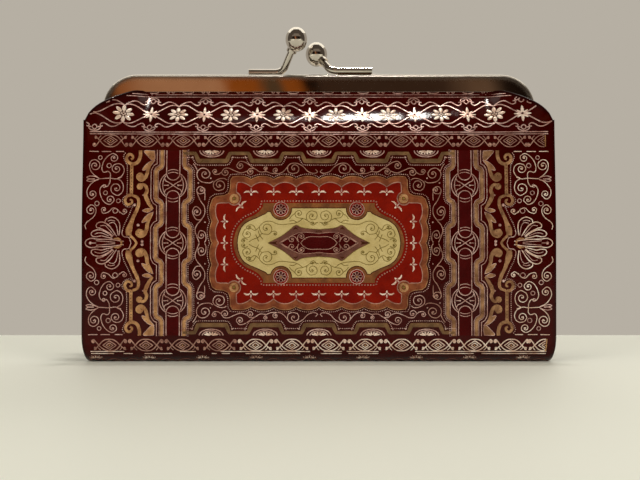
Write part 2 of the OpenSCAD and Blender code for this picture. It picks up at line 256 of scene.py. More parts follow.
def sheet(name, half_x, columns, top, depth, thick, material):
    """Closed sheet with round edges that follows the front leather at a depth."""
    r = thick / 2
    xs = np.linspace(-half_x, half_x, columns)
    bend = np.radians([30, 60, 90, 120, 150])
    cx = np.concatenate([xs, half_x + r * np.sin(bend), xs[::-1], -half_x - r * np.sin(bend)])
    cd = np.concatenate([0 * xs, r - r * np.cos(bend), 0 * xs + thick, r + r * np.cos(bend)])
    flat_x = np.clip(cx, -half_x, half_x)
    loops = []
    for a in np.radians([80, 50, 25]):
        loops.append((top(flat_x) + r * math.sin(a), math.cos(a)))
    loops += [(row(flat_x), 1.0) for row in sheet_rows(top)]
    verts, edge = [], []
    for s, k in loops:
        inward = depth(cx, s) + r + (cd - r) * k
        verts.append(on_front(np.column_stack([cx, s, -inward])))
        side = 1 - (HALF_W - np.abs(cx)) / EDGE_DARK_RUN
        upper = (1 - (top(flat_x) - s) / EDGE_DARK_RUN) * (np.abs(cx) > FREE_X)
        edge.append(np.clip(np.maximum(side, upper), 0, 1))
    n, m = len(cx), len(loops)
    faces = []
    for j in range(m - 1):
        for i in range(n):
            k = (i + 1) % n
            faces.append((j * n + i, j * n + k, (j + 1) * n + k, (j + 1) * n + i))
    e = len(bend)
    for start in (0, (m - 1) * n):
        inner = [start + columns + e + columns - 1 - i for i in range(columns)]
        for i in range(columns - 1):
            faces.append((start + i, start + i + 1, inner[i + 1], inner[i]))
        faces.append([start + columns - 1] + [start + columns + k for k in range(e)] + [inner[-1]])
        faces.append([inner[0]] + [start + 2 * columns + e + k for k in range(e)] + [start])
    return make(name, np.vstack(verts), faces, material, np.concatenate(edge))


# Node trees for what repeats or follows a line of the pattern.


def new_tree(name, inputs):
    tree = bpy.data.node_groups.new(name, "GeometryNodeTree")
    tree.interface.new_socket("Geometry", in_out="INPUT", socket_type="NodeSocketGeometry")
    for label, kind, value in inputs:
        socket = tree.interface.new_socket(label, in_out="INPUT", socket_type="NodeSocket" + kind)
        if value is not None:
            socket.default_value = value
    tree.interface.new_socket("Geometry", in_out="OUTPUT", socket_type="NodeSocketGeometry")
    return tree, tree.nodes.new("NodeGroupInput"), tree.nodes.new("NodeGroupOutput")


def half_width(tree):
    """Half the width of a line, or of a bead, at each point."""
    node = tree.nodes.new("GeometryNodeInputNamedAttribute")
    node.data_type = "FLOAT"
    node.inputs["Name"].default_value = "half_width"
    return node.outputs["Attribute"]


def share(tree, value, part):
    """A part of a value, by a multiply node."""
    node = tree.nodes.new("ShaderNodeMath")
    node.operation = "MULTIPLY"
    node.inputs[1].default_value = part
    tree.links.new(value, node.inputs[0])
    return node.outputs[0]


def close_tree(tree, entry, exit_node, made):
    """Ends a tree in realized, flat shaded geometry with its finish."""
    node, link = tree.nodes.new, tree.links.new
    shade, real = node("GeometryNodeSetShadeSmooth"), node("GeometryNodeRealizeInstances")
    finish = node("GeometryNodeSetMaterial")
    shade.inputs["Shade Smooth"].default_value = False
    link(made, real.inputs["Geometry"])
    link(real.outputs["Geometry"], shade.inputs["Geometry"])
    link(shade.outputs["Geometry"], finish.inputs["Geometry"])
    link(entry.outputs["Finish"], finish.inputs["Material"])
    link(finish.outputs["Geometry"], exit_node.inputs["Geometry"])


def tooling_tree():
    """Raised line of a given crown along each edge chain."""
    sizes = [("Crown", "Float", 1.0), ("Finish", "Material", None)]
    tree, entry, exit_node = new_tree("tooled_line", sizes)
    node, link = tree.nodes.new, tree.links.new
    path, normal = node("GeometryNodeMeshToCurve"), node("GeometryNodeSetCurveNormal")
    normal.mode = "Z_UP"
    section, sweep = node("GeometryNodeCurvePrimitiveQuadrilateral"), node("GeometryNodeCurveToMesh")
    section.mode = "TRAPEZOID"
    section.inputs["Top Width"].default_value = 2.0
    section.inputs["Bottom Width"].default_value = 1.1
    section.inputs["Offset"].default_value = 0.0
    sweep.inputs["Fill Caps"].default_value = True
    link(entry.outputs["Geometry"], path.inputs["Mesh"])
    link(path.outputs["Curve"], normal.inputs["Curve"])
    link(entry.outputs["Crown"], section.inputs["Height"])
    link(normal.outputs["Curve"], sweep.inputs["Curve"])
    link(section.outputs["Curve"], sweep.inputs["Profile Curve"])
    link(half_width(tree), sweep.inputs["Scale"])
    close_tree(tree, entry, exit_node, sweep.outputs["Mesh"])
    return tree


def bead_tree():
    """Small domed dot on each point."""
    sizes = [("Crown", "Float", 0.7), ("Finish", "Material", None)]
    tree, entry, exit_node = new_tree("beading", sizes)
    node, link = tree.nodes.new, tree.links.new
    dome, place = node("GeometryNodeMeshUVSphere"), node("GeometryNodeInstanceOnPoints")
    dome.inputs["Segments"].default_value = 7
    dome.inputs["Rings"].default_value = 4
    squash, shape = node("ShaderNodeCombineXYZ"), node("GeometryNodeTransform")
    squash.inputs["X"].default_value = squash.inputs["Y"].default_value = 1.0
    link(entry.outputs["Crown"], squash.inputs["Z"])
    link(dome.outputs["Mesh"], shape.inputs["Geometry"])
    link(squash.outputs["Vector"], shape.inputs["Scale"])
    link(entry.outputs["Geometry"], place.inputs["Points"])
    link(shape.outputs["Geometry"], place.inputs["Instance"])
    link(half_width(tree), place.inputs["Scale"])
    close_tree(tree, entry, exit_node, place.outputs["Instances"])
    return tree


# Half a petal's length, as a share of the flower's reach.
PETAL_HALF = 0.36


def flower_tree():
    """Ring of petals on each point."""
    sizes = [
        ("Petals", "Int", 8),
        ("Reach", "Float", 3.6),
        ("Petal width", "Float", 0.6),
        ("Crown", "Float", 0.2),
        ("Finish", "Material", None),
    ]
    tree, entry, exit_node = new_tree("flower", sizes)
    node, link = tree.nodes.new, tree.links.new
    petal, shape = node("GeometryNodeMeshUVSphere"), node("GeometryNodeTransform")
    size = node("ShaderNodeCombineXYZ")
    petal.inputs["Segments"].default_value = 10
    petal.inputs["Rings"].default_value = 6
    link(share(tree, entry.outputs["Reach"], PETAL_HALF), size.inputs["X"])
    link(entry.outputs["Petal width"], size.inputs["Y"])
    link(entry.outputs["Crown"], size.inputs["Z"])
    link(petal.outputs["Mesh"], shape.inputs["Geometry"])
    link(size.outputs["Vector"], shape.inputs["Scale"])
    ring = node("GeometryNodeMeshCircle")
    link(share(tree, entry.outputs["Reach"], 1 - PETAL_HALF), ring.inputs["Radius"])
    link(entry.outputs["Petals"], ring.inputs["Vertices"])
    turn, where = node("FunctionNodeAlignRotationToVector"), node("GeometryNodeInputPosition")
    turn.axis = "X"
    turn.pivot_axis = "Z"
    link(where.outputs["Position"], turn.inputs["Vector"])
    around, row = node("GeometryNodeInstanceOnPoints"), node("GeometryNodeInstanceOnPoints")
    link(ring.outputs["Mesh"], around.inputs["Points"])
    link(shape.outputs["Geometry"], around.inputs["Instance"])
    link(turn.outputs["Rotation"], around.inputs["Rotation"])
    link(entry.outputs["Geometry"], row.inputs["Points"])
    link(around.outputs["Instances"], row.inputs["Instance"])
    close_tree(tree, entry, exit_node, row.outputs["Instances"])
    return tree


def grown(name, tree, verts, edges, widths, values):
    """Plain mesh that a node tree makes from points or chains in the pattern plane."""
    base = bpy.data.meshes.new(name)
    base.from_pydata([(v[0], v[1], 0.0) for v in verts], edges, [])
    if widths is not None:
        wide = base.attributes.new("half_width", "FLOAT", "POINT")
        wide.data.foreach_set("value", np.asarray(widths, float))
    obj = placed(name, base)
    grow = obj.modifiers.new("grow", "NODES")
    grow.node_group = tree
    for item in tree.interface.items_tree:
        if item.in_out == "INPUT" and item.name in values:
            grow[item.identifier] = values[item.name]
    graph = bpy.context.evaluated_depsgraph_get()
    made = bpy.data.meshes.new_from_object(obj.evaluated_get(graph))
    bpy.data.objects.remove(obj)
    bpy.data.meshes.remove(base)
    co = np.empty(len(made.vertices) * 3)
    made.vertices.foreach_get("co", co)
    return made, co.reshape(-1, 3)


def join_on_front(name, parts):
    """One piece from meshes in the pattern plane, laid on the front leather."""
    bm, materials = bmesh.new(), []
    for mesh, co, material, lift in parts:
        if material not in materials:
            materials.append(material)
        laid = on_front(co + (0, 0, lift)) * MM
        mesh.vertices.foreach_set("co", laid.ravel())
        mesh.polygons.foreach_set("material_index", [materials.index(material)] * len(mesh.polygons))
        bm.from_mesh(mesh)
        bpy.data.meshes.remove(mesh)
    whole_mesh = bpy.data.meshes.new(name)
    bm.to_mesh(whole_mesh)
    bm.free()
    for material in materials:
        whole_mesh.materials.append(material)
    return placed(name, whole_mesh)


# Finishes.


def colour(r, g, b):
    """Linear colour from the usual 0 to 255 values."""
    def channel(c):
        c /= 255
        return c / 12.92 if c <= 0.04045 else ((c + 0.055) / 1.055) ** 2.4
    return (channel(r), channel(g), channel(b), 1.0)


def colours(*tints):
    return [colour(*tint) for tint in tints]


# Turn of the normal at an eased edge, as a share of the turn half way round it.
EASED_TURN = 2.3
# Roughness that such an edge gains for its turn.
EDGE_SATIN = 0.13


class Finish:
    """A principled material with a few node helpers on Object coordinates."""

    def __init__(self, name, metal=0.0, specular=0.5, sheen=0.0):
        self.material = bpy.data.materials.new(name)
        self.material.use_nodes = True
        self.tree = self.material.node_tree
        self.shader = self.tree.nodes["Principled BSDF"]
        self.shader.inputs["Metallic"].default_value = metal
        self.shader.inputs["Specular IOR Level"].default_value = specular
        self.shader.inputs["Sheen Weight"].default_value = sheen
        self.place = self.node("ShaderNodeTexCoord").outputs["Object"]

    def node(self, kind, **settings):
        made = self.tree.nodes.new(kind)
        for key, value in settings.items():
            setattr(made, key, value)
        return made

    def link(self, a, b):
        self.tree.links.new(a, b)

    def noise(self, scale, detail=3.0, rough=0.5, stretch=None):
        n = self.node("ShaderNodeTexNoise")
        n.inputs["Scale"].default_value = scale
        n.inputs["Detail"].default_value = detail
        n.inputs["Roughness"].default_value = rough
        source = self.place
        if stretch:
            m = self.node("ShaderNodeMapping")
            m.inputs["Scale"].default_value = stretch
            self.link(self.place, m.inputs["Vector"])
            source = m.outputs["Vector"]
        self.link(source, n.inputs["Vector"])
        return n.outputs["Fac"]

    def cells(self, scale):
        n = self.node("ShaderNodeTexVoronoi", feature="F1")
        n.inputs["Scale"].default_value = scale
        self.link(self.place, n.inputs["Vector"])
        return n.outputs["Distance"]

    def attribute(self, name):
        return self.node("ShaderNodeAttribute", attribute_name=name).outputs["Fac"]

    def span(self, value, low, high, to_low=0.0, to_high=1.0):
        n = self.node("ShaderNodeMapRange")
        for key, v in (("From Min", low), ("From Max", high), ("To Min", to_low), ("To Max", to_high)):
            n.inputs[key].default_value = v
        self.link(value, n.inputs["Value"])
        return n.outputs["Result"]

    def sum(self, a, b, weight):
        n = self.node("ShaderNodeMath", operation="MULTIPLY_ADD")
        self.link(b, n.inputs[0])
        n.inputs[1].default_value = weight
        self.link(a, n.inputs[2])
        return n.outputs[0]

    def mix(self, factor, a, b):
        n = self.node("ShaderNodeMix", data_type="RGBA")
        self.link(factor, n.inputs[0])
        for socket, value in ((n.inputs[6], a), (n.inputs[7], b)):
            if isinstance(value, tuple):
                socket.default_value = value
            else:
                self.link(value, socket)
        return n.outputs[2]

    def paint(self, tint):
        self.link(tint, self.shader.inputs["Base Color"])
        return self

    def gloss(self, value):
        self.link(value, self.shader.inputs["Roughness"])
        return self

    def bump(self, height, strength, distance):
        n = self.node("ShaderNodeBump")
        n.inputs["Strength"].default_value = strength
        n.inputs["Distance"].default_value = distance
        self.link(height, n.inputs["Height"])
        self.link(n.outputs["Normal"], self.shader.inputs["Normal"])
        return self

    def vector(self, operation, a, b):
        n = self.node("ShaderNodeVectorMath", operation=operation)
        self.link(a, n.inputs[0])
        self.link(b, n.inputs["Scale"] if operation == "SCALE" else n.inputs[1])
        return n.outputs["Vector"]

    def eased_normal(self, radius):
        """Normal that rolls over at upper edges, as on pressed metal, and the amount of its turn."""
        rounded = self.node("ShaderNodeBevel", samples=8)
        rounded.inputs["Radius"].default_value = radius
        flat = self.node("ShaderNodeNewGeometry").outputs["True Normal"]
        lean = self.vector("SUBTRACT", rounded.outputs["Normal"], flat)
        upward = self.node("ShaderNodeSeparateXYZ")
        self.link(lean, upward.inputs[0])
        amount = self.span(upward.outputs["Z"], 0.0, 0.1, 0.0, EASED_TURN)
        return self.vector("ADD", flat, self.vector("SCALE", lean, amount)), amount


def leather_finish(name, deep, light, edge_tint):
    f = Finish(name, specular=0.14)
    deep, light, edge_tint = colours(deep, light, edge_tint)
    tone = f.mix(f.span(f.noise(55, 4), 0.32, 0.7), deep, light)
    pores = f.cells(1500)
    tone = f.mix(f.span(pores, 0.0, 0.35, 0.35, 0.0), tone, edge_tint)
    f.paint(f.mix(f.attribute("edge"), tone, edge_tint))
    f.gloss(f.span(f.noise(130, 4), 0.3, 0.7, 0.06, 0.12))
    return f.bump(f.sum(f.noise(900, 3), pores, 0.8), 0.05, 0.0002).material


def gilt_finish(name, dull, bright, worn, rough, metal):
    """Leaf or bronze on the tooling, from dull to bright, with worn spots."""
    f = Finish(name, metal=metal)
    dull, bright, worn = colours(dull, bright, worn)
    tone = f.mix(f.span(f.noise(300, 3), 0.38, 0.66), dull, bright)
    f.paint(f.mix(f.span(f.noise(700, 4, 0.65), 0.6, 0.74), tone, worn))
    f.gloss(f.span(f.noise(520, 2), 0.3, 0.7, rough - 0.1, rough + 0.14))
    return f.bump(f.noise(2400, 2), 0.35, 0.00015).material


def inlay_finish(name, deep, light, rough=0.42):
    f = Finish(name, specular=0.1)
    f.paint(f.mix(f.span(f.noise(180, 4), 0.3, 0.7), *colours(deep, light)))
    f.gloss(f.span(f.noise(240, 3), 0.3, 0.7, rough - 0.06, rough + 0.08))
    return f.bump(f.sum(f.noise(1300, 3), f.cells(1700), 0.5), 0.18, 0.0002).material


def metal_finish(name, tint, dark, rough, eased=0.0):
    """Polished metal; eased is the radius, in metres, of its rounded upper edge."""
    f = Finish(name, metal=1.0)
    f.paint(f.mix(f.span(f.noise(90, 3), 0.35, 0.75, 0.0, 0.5), *colours(tint, dark)))
    satin = f.span(f.noise(160, 4, 0.6), 0.3, 0.75, rough * 0.7, rough * 1.5)
    f.bump(f.noise(500, 2, stretch=(0.1, 1, 1)), 0.006, 0.0001)
    if eased:
        normal, turn = f.eased_normal(eased)
        f.link(normal, f.tree.nodes["Bump"].inputs["Normal"])
        satin = f.sum(satin, turn, EDGE_SATIN)
    return f.gloss(satin).material


def weave_finish(name, deep, light):
    f = Finish(name, specular=0.2, sheen=0.25)
    waves = []
    for axis in ("X", "Z"):
        w = f.node("ShaderNodeTexWave", wave_type="BANDS", bands_direction=axis)
        w.inputs["Scale"].default_value = 420
        w.inputs["Distortion"].default_value = 0.4
        f.link(f.place, w.inputs["Vector"])
        waves.append(w.outputs["Fac"])
    thread = f.sum(waves[0], waves[1], 1.0)
    f.paint(f.mix(f.span(thread, 0.3, 1.8), *colours(deep, light)))
    f.gloss(f.span(f.noise(400, 2), 0.3, 0.7, 0.7, 0.85))
    return f.bump(thread, 0.4, 0.0002).material


BURGUNDY = ((44, 1, 0), (58, 3, 1), (30, 2, 1))
POLISHED = ((206, 198, 188), (182, 170, 156), 0.045)
EASED_EDGE = 0.0026
LEATHER = leather_finish("burgundy_leather", *BURGUNDY)
GUSSET_LEATHER = leather_finish("gusset_leather", *BURGUNDY)
GOLD = gilt_finish("gold_leaf", (170, 120, 80), (232, 182, 128), (118, 74, 46), 0.34, 0.7)
# A darker copy of the gold leaf: painted shade for the right columns.
SHADED_GOLD = gilt_finish("dim_gold", (134, 94, 64), (196, 150, 108), (98, 62, 40), 0.34, 0.6)
LINE = gilt_finish("rose_gilt", (196, 150, 138), (248, 214, 204), (150, 98, 88), 0.28, 0.6)
COPPER_LINE = gilt_finish("copper_gilt", (156, 114, 100), (204, 160, 142), (120, 76, 64), 0.3, 0.45)
BRONZE = gilt_finish("bronze_band", (122, 60, 34), (162, 92, 54), (94, 42, 22), 0.36, 0.5)
RUST = gilt_finish("rust_rim", (106, 60, 26), (138, 84, 38), (84, 40, 16), 0.38, 0.25)
# A darker, greyer copy of the gilt: painted shade on the crenellated strap.
CRENEL_SHADE = gilt_finish("dull_bronze", (94, 67, 40), (128, 95, 60), (78, 48, 28), 0.36, 0.3)
PALE = gilt_finish("pale_gilt", (212, 176, 154), (254, 238, 222), (176, 128, 108), 0.26, 0.35)
UMBER = inlay_finish("dark_edge", (58, 26, 12), (74, 38, 18), 0.4)
RED = inlay_finish("red_inlay", (102, 8, 0), (124, 17, 0), 0.36)
CREAM = inlay_finish("cream_inlay", (174, 154, 98), (196, 178, 124), 0.4)
MAROON = inlay_finish("maroon_inlay", (52, 1, 1), (66, 2, 2), 0.34)
MAUVE = gilt_finish("brown_band", (92, 50, 40), (114, 70, 55), (74, 36, 28), 0.4, 0.2)
OLIVE = inlay_finish("olive_ink", (104, 88, 40), (130, 112, 56))
NICKEL = metal_finish("polished_nickel", *POLISHED)
FRAME_NICKEL = metal_finish("frame_nickel", *POLISHED, EASED_EDGE)
LINING = weave_finish("lining_cloth", (70, 44, 30), (120, 84, 58))
BOARD = inlay_finish("grey_board", (140, 128, 110), (166, 154, 134), 0.8)
PACKING = inlay_finish("paper_packing", (150, 120, 84), (176, 146, 104), 0.8)

# Ornament, drawn in pattern steps from the middle of the field.


def flow(points, step=1.0):
    """Smooth line through points."""
    p = np.asarray(points, float)
    ends = np.vstack([2 * p[0] - p[1], p, 2 * p[-1] - p[-2]])
    out = []
    for i in range(len(p) - 1):
        a, b, c, d = ends[i : i + 4]
        n = max(1, int(math.ceil(np.linalg.norm(c - b) / step)))
        t = np.arange(n)[:, None] / n
        bend, twist = 2 * a - 5 * b + 4 * c - d, 3 * b - a - 3 * c + d
        out.append(0.5 * (2 * b + (c - a) * t + bend * t**2 + twist * t**3))
    return np.vstack(out + [p[-1:]])


def straight(points, step=2.5):
    p = np.asarray(points, float)
    out = []
    for a, b in zip(p[:-1], p[1:]):
        n = max(1, int(math.ceil(np.linalg.norm(b - a) / step)))
        out.append(a + (b - a) * np.arange(n)[:, None] / n)
    return np.vstack(out + [p[-1:]])


def arc(cx, cy, r, start, end, step=1.0, ry=None):
    n = max(6, int(abs(math.radians(end - start)) * r / step))
    a = np.radians(np.linspace(start, end, n + 1))
    return np.column_stack([cx + r * np.cos(a), cy + (ry or r) * np.sin(a)])


def ring(cx, cy, r):
    return arc(cx, cy, r, 0, 360)[:-1]


def curl(line, eye, turns):
    """A line carried on into a spiral round its eye."""
    c = np.asarray(eye, float)
    reach = line[-1] - c
    r, start = np.hypot(*reach), math.atan2(reach[1], reach[0])
    n = max(10, int(abs(turns) * 20))
    t = np.arange(1, n + 1) / n
    a, rr = start + turns * 2 * math.pi * t, r * (1 - 0.8 * t)
    return np.vstack([line, np.column_stack([c[0] + rr * np.cos(a), c[1] + rr * np.sin(a)])])


def along(line, pitch):
    """Points at an even pitch along a line."""
    far = np.concatenate([[0], np.cumsum(np.hypot(*np.diff(line, axis=0).T))])
    at = np.linspace(0, far[-1], max(2, int(round(far[-1] / pitch)) + 1))
    return np.column_stack([np.interp(at, far, line[:, 0]), np.interp(at, far, line[:, 1])])


def beside(line, gap):
    """A line at a gap to the left of another."""
    t = np.gradient(line, axis=0)
    t /= np.maximum(np.hypot(t[:, 0], t[:, 1]), 1e-9)[:, None]
    return line + gap * np.column_stack([-t[:, 1], t[:, 0]])


def whole(path):
    """Closed outline from its upper right quarter, which runs clockwise."""
    p = np.asarray(path, float)
    return np.vstack([p, (p * (1, -1))[::-1][1:], (p * (-1, -1))[1:], (p * (-1, 1))[::-1][1:-1]])


FOUR = ((1, 1), (-1, 1), (1, -1), (-1, -1))
LEFT_RIGHT = ((1, 1), (-1, 1))
UP_DOWN = ((1, 1), (1, -1))
ONCE = ((1, 1),)
LEFT_HALF = ((-1, 1), (-1, -1))
LOWER_HALF = ((1, -1), (-1, -1))
# The right columns take a darker copy of the gold leaf, a painted shade.
GILT_SIDES = ((GOLD, LEFT_HALF), (SHADED_GOLD, UP_DOWN))


# Crown of a flat strap and of a bead, as shares of their half width, and the relief of a bead's middle.
STRAP_CROWN, BEAD_CROWN = 0.22, 0.6
BEAD_LIFT = 0.04


class Ornament:
    """Lines, beads and colour fields of one part of the tooling, in millimetres."""

    def __init__(self):
        self.lines, self.beads, self.fields = [], [], []

    def put(self, points, flip):
        p = np.asarray(points, float) * flip * STEP + (0, FIELD_Z)
        p[:, 1] = level(p[:, 0], p[:, 1])
        return p

    def line(self, points, half=0.55, finish=LINE, sides=FOUR, closed=False, crown=1.0, lift=0.0):
        wide = np.broadcast_to(np.asarray(half, float), (len(points),)) * STEP
        for flip in sides:
            self.lines.append((self.put(points, flip), wide, finish, closed, crown, lift))

    def strap(self, points, half, finish, sides):
        ends = np.asarray(half, float)
        if ends.ndim and len(ends) != len(points):
            ends = np.interp(np.linspace(0, 1, len(points)), np.linspace(0, 1, len(ends)), ends)
        self.line(points, ends, finish, sides, crown=STRAP_CROWN)

    def bead(self, points, half, finish=LINE, sides=FOUR, lift=BEAD_LIFT):
        for flip in sides:
            self.beads.append((self.put(np.atleast_2d(points), flip), half * STEP, finish, lift))

    def beaded(self, line, pitch, half, finish=LINE, sides=FOUR, lift=BEAD_LIFT):
        self.bead(along(line, pitch), half, finish, sides, lift)

    def fill(self, points, finish, lift, sides=FOUR):
        for flip in sides:
            self.fields.append((self.put(points, flip), finish, lift))

    def scrolls(self, lines, half=0.55, finish=LINE, sides=FOUR, lift=0.0):
        for points, eye in lines:
            line = flow(points)
            if eye:
                line = curl(line, *eye)
                self.bead(eye[0], 0.95, finish, sides, lift + BEAD_LIFT)
            self.line(line, half, finish, sides, lift=lift)


OUTER_SCROLLS = [
    ([(209.5, 65), (209.5, 69.4), (211.7, 71.7), (216.2, 70.8), (218.1, 74.8), (216.2, 81.9),
      (211.7, 87.3), (206.8, 89.5), (202.8, 87.3)], ((206.4, 85.1), 1.2)),
    ([(201.9, 65), (197.9, 67.2), (195.6, 72.1), (197, 77), (201, 79.4), (205.5, 78.4), (207.7, 75.7)],
     ((203.2, 74.3), -1.2)),
    ([(197.9, 65.9), (203.7, 64.1), (209.5, 64.8), (216.2, 64.5), (221.1, 64.2)], None),
    ([(221.1, 65), (226, 68.5), (229.6, 73), (230.5, 78.4), (228.7, 82.4), (224.7, 83.3), (221.1, 81)],
     ((225.1, 77.5), 1.3)),
    ([(201.9, 64.1), (197.9, 61.4), (196.1, 56), (197.4, 50.7), (201.9, 47.6), (206.8, 49.8)],
     ((203.2, 54.7), 1.2)),
    ([(209.5, 64.1), (209.9, 60.5), (212.6, 56.5), (217.1, 57.4), (219.8, 52.5), (218, 45.3),
      (214.4, 40.4), (209.5, 38.6), (205.5, 41.8)], ((209.5, 43.5), -1.2)),
    ([(221.1, 63.6), (226, 61.4), (230.5, 56.9), (232.7, 51.6), (231.4, 46.2), (227.8, 44), (223.8, 47.1)],
     ((227.1, 49.1), -1.2)),
    ([(199.2, 30.1), (201.9, 33.7), (206.4, 35.1), (210.8, 31), (216.2, 29.7), (218, 33.3)],
     ((215.3, 33.3), 1.0)),
    ([(201.9, 33.7), (198.8, 30.6), (195.6, 28.8), (192.5, 31)], ((194.8, 31.9), -1.0)),
    ([(233.1, 13.6), (234, 17.6), (231.8, 21.2), (226, 25.7), (223.3, 31), (224.2, 35.9), (228.2, 38.2),
      (232.2, 35.1)], ((228.2, 32.8), -1.2)),
    ([(196.1, 91.6), (204.1, 91.6)], None),
    ([(209, 91.6), (218.4, 91.6)], None),
    ([(221.5, 91.6), (230.9, 91.8)], None),
]
SMALL_RINGS = [
    (210.8, 77.5, 2.2), (219.8, 85.5, 1.9), (214, 50.2, 2.0), (215.3, 57, 1.5), (222.4, 39.5, 2.2),
    (201, 42.2, 2.0), (204, 32.2, 2.4),
]
PETALS = [
    [(195.4, 1.6), (208, 3.4), (221, 3.8), (228, 4.6), (232.4, 2.8), (234, 0)],
    [(206.4, 4.6), (212.2, 5.8), (217.6, 7.1), (222, 6.3), (226.5, 6.7), (227.8, 9.4), (225.6, 12),
     (221.1, 13.2), (216.7, 12.5), (211.3, 9.8), (206.9, 6.3)],
    [(206, 6.7), (210.4, 10.3), (218.9, 14.7), (222, 15.2), (222.9, 17.9), (220.7, 20.3), (217.1, 21),
     (214, 20), (210.4, 17.9), (206.9, 13.4), (203.3, 7.6)],
    [(214, 20.5), (213.5, 23.2), (210.4, 25.2), (206.9, 25.9), (203.3, 24.5), (200.1, 21), (199.2, 15.6),
     (200.1, 7.6)],
]
PETAL_VEINS = [
    [(223, 2.2), (212, 1.4), (204, 0.6)],
    [(224.3, 8.9), (221.1, 10), (216.7, 9.8), (210.4, 7.1)],
    [(218.9, 17.2), (214, 17.4), (210.4, 13.8), (205, 7.6)],
    [(211.3, 21.9), (207.8, 22.8), (204.2, 21.9)],
    [(212.6, 18.7), (207.8, 14.7), (202.4, 6.7)],
    [(210, 19.6), (206, 20.5), (203.3, 18.3), (201.9, 13.8), (201, 7.6)],
]
PALMETTE_WEDGE = [(206, 4.6), (201, 5.6), (197.5, 3.4), (200, 2.4)]
SIDE_BUDS = [
    [(221, 65), (225, 66.6), (230, 67), (233, 65.8), (230.4, 64.4), (225, 64.2)],
    [(221, 64), (225, 62.6), (230, 61.6), (233, 62.6), (230.4, 63.8), (225, 63.9)],
]
OGEE_STRAPS = [
    ([(179.6, 92.6), (179.6, 87.3), (181.8, 81.5), (186.7, 79.1), (191.6, 81), (193.4, 85.1),
      (191.2, 88.6), (188.1, 88.2), (186.9, 85.1), (188.9, 83.7)], (2.2, 2.2, 1.9, 1.4)),
    ([(188.1, 80.5), (188.1, 64), (188.1, 47)], (2.1, 2.1)),
    ([(188.1, 48), (192.1, 47.1), (194.3, 42.6), (192.1, 38.6), (188.1, 39.5), (187.2, 42.6),
      (189.4, 43.5)], (2.0, 1.8, 1.2)),
    ([(186.8, 47.6), (181.8, 45.3), (180.5, 40), (182.2, 33.7), (186.3, 24.6), (188.8, 17.5), (190.5, 11.2),
      (190.2, 7.6)], (1.6, 1.9, 2.1, 2.2, 2.2, 2.8, 4.2, 3.4)),
    ([(189.4, 7.2), (188, 6.6), (184.5, 3.2), (182.2, -0.3)], (2.0, 1.6, 1.5, 1.4)),
]
OGEE_BEADS = [
    (194.8, 90), (196.5, 86.4), (193.9, 80.1), (192.5, 75.7), (192.5, 49.8), (195.6, 46.2), (197, 41.8),
    (193.9, 37.3), (189.4, 35.9), (186.3, 37.3), (188.1, 32.8), (191.2, 25.7), (194.4, 19.4), (196.6, 13),
]
OGEE_LINE = [(196.6, 13), (197, 8.9), (194.8, 6.2), (190.3, 5.4), (188.1, 0)]
ACANTHUS_LEAVES = [
    [(165.3, 92.2), (175.6, 92.2), (172.4, 87.3), (167.1, 82.4), (164.8, 84.6)],
    [(164.6, 82.8), (169.8, 81.4), (175.1, 77), (177.1, 72.8), (172.4, 73.9), (168.9, 77.5)],
    [(172.4, 47.1), (174.7, 48.4), (176.9, 48), (174.7, 46.7)],
    [(166.6, 33.3), (171.5, 34.6), (176.7, 32.4), (171.5, 30.6)],
    [(165.7, 31), (170.6, 29.2), (175.1, 24.8), (177.3, 20.5), (172.4, 22.1), (168, 25.7)],
]
ACANTHUS_STEMS = [
    ([(166.6, 81.9), (170.6, 76.6), (172.4, 70.3), (174.2, 65.9), (177.8, 63.2), (181.4, 65), (181.4, 68.1),
      (178.7, 69), (177.8, 66.8)], (1.4, 2.2, 2.4, 1.8)),
    ([(180, 56.5), (176.9, 58.7), (173.8, 56.9), (172.4, 52.5), (173.8, 48), (171.5, 41.8), (167.5, 35.1),
      (166.6, 33.7)], (1.6, 2.2, 2.6, 1.6)),
    ([(167.5, 28.4), (171.5, 20.3), (172.4, 14.1), (174.7, 8.7), (178.7, 6.9), (182.2, 9.6), (180.5, 12.7),
      (177.8, 11.8)], (1.6, 2.4, 2.4, 1.8)),
]
SIDE_SCROLLS = [
    ([(106, 62), (109.9, 60.1), (118, 61.4), (122, 65.9), (122, 71.2), (118, 74.8), (112.6, 73.9),
      (109.5, 70.3)], ((114.4, 69.0), 1.1)),
    ([(122, 72.1), (124, 76.4), (126.2, 79.4)], None),
    ([(114.4, 42.6), (114.4, 49.8), (116.6, 55.6), (120.6, 56), (122.4, 51.6), (118.9, 42.6), (114.8, 36.4),
      (114.4, 29.2), (118, 23), (122.4, 17.6), (123.8, 11.4), (119.8, 0.5)], None),
    ([(118, 23), (123.2, 23.9), (126.4, 30.1), (125.4, 35), (122.4, 36.4), (118.8, 33.4)],
     ((122.4, 31.0), 1.2)),
    ([(114.4, 0.5), (112.9, 4.2), (114.2, 10.5), (118.9, 12.3), (121.1, 7.8)], ((117.5, 7.6), -1.0)),
    ([(122.4, 51.6), (120.2, 49.3), (116.2, 49.8), (114.2, 52.5)], ((117.2, 52.9), -1.0)),
]
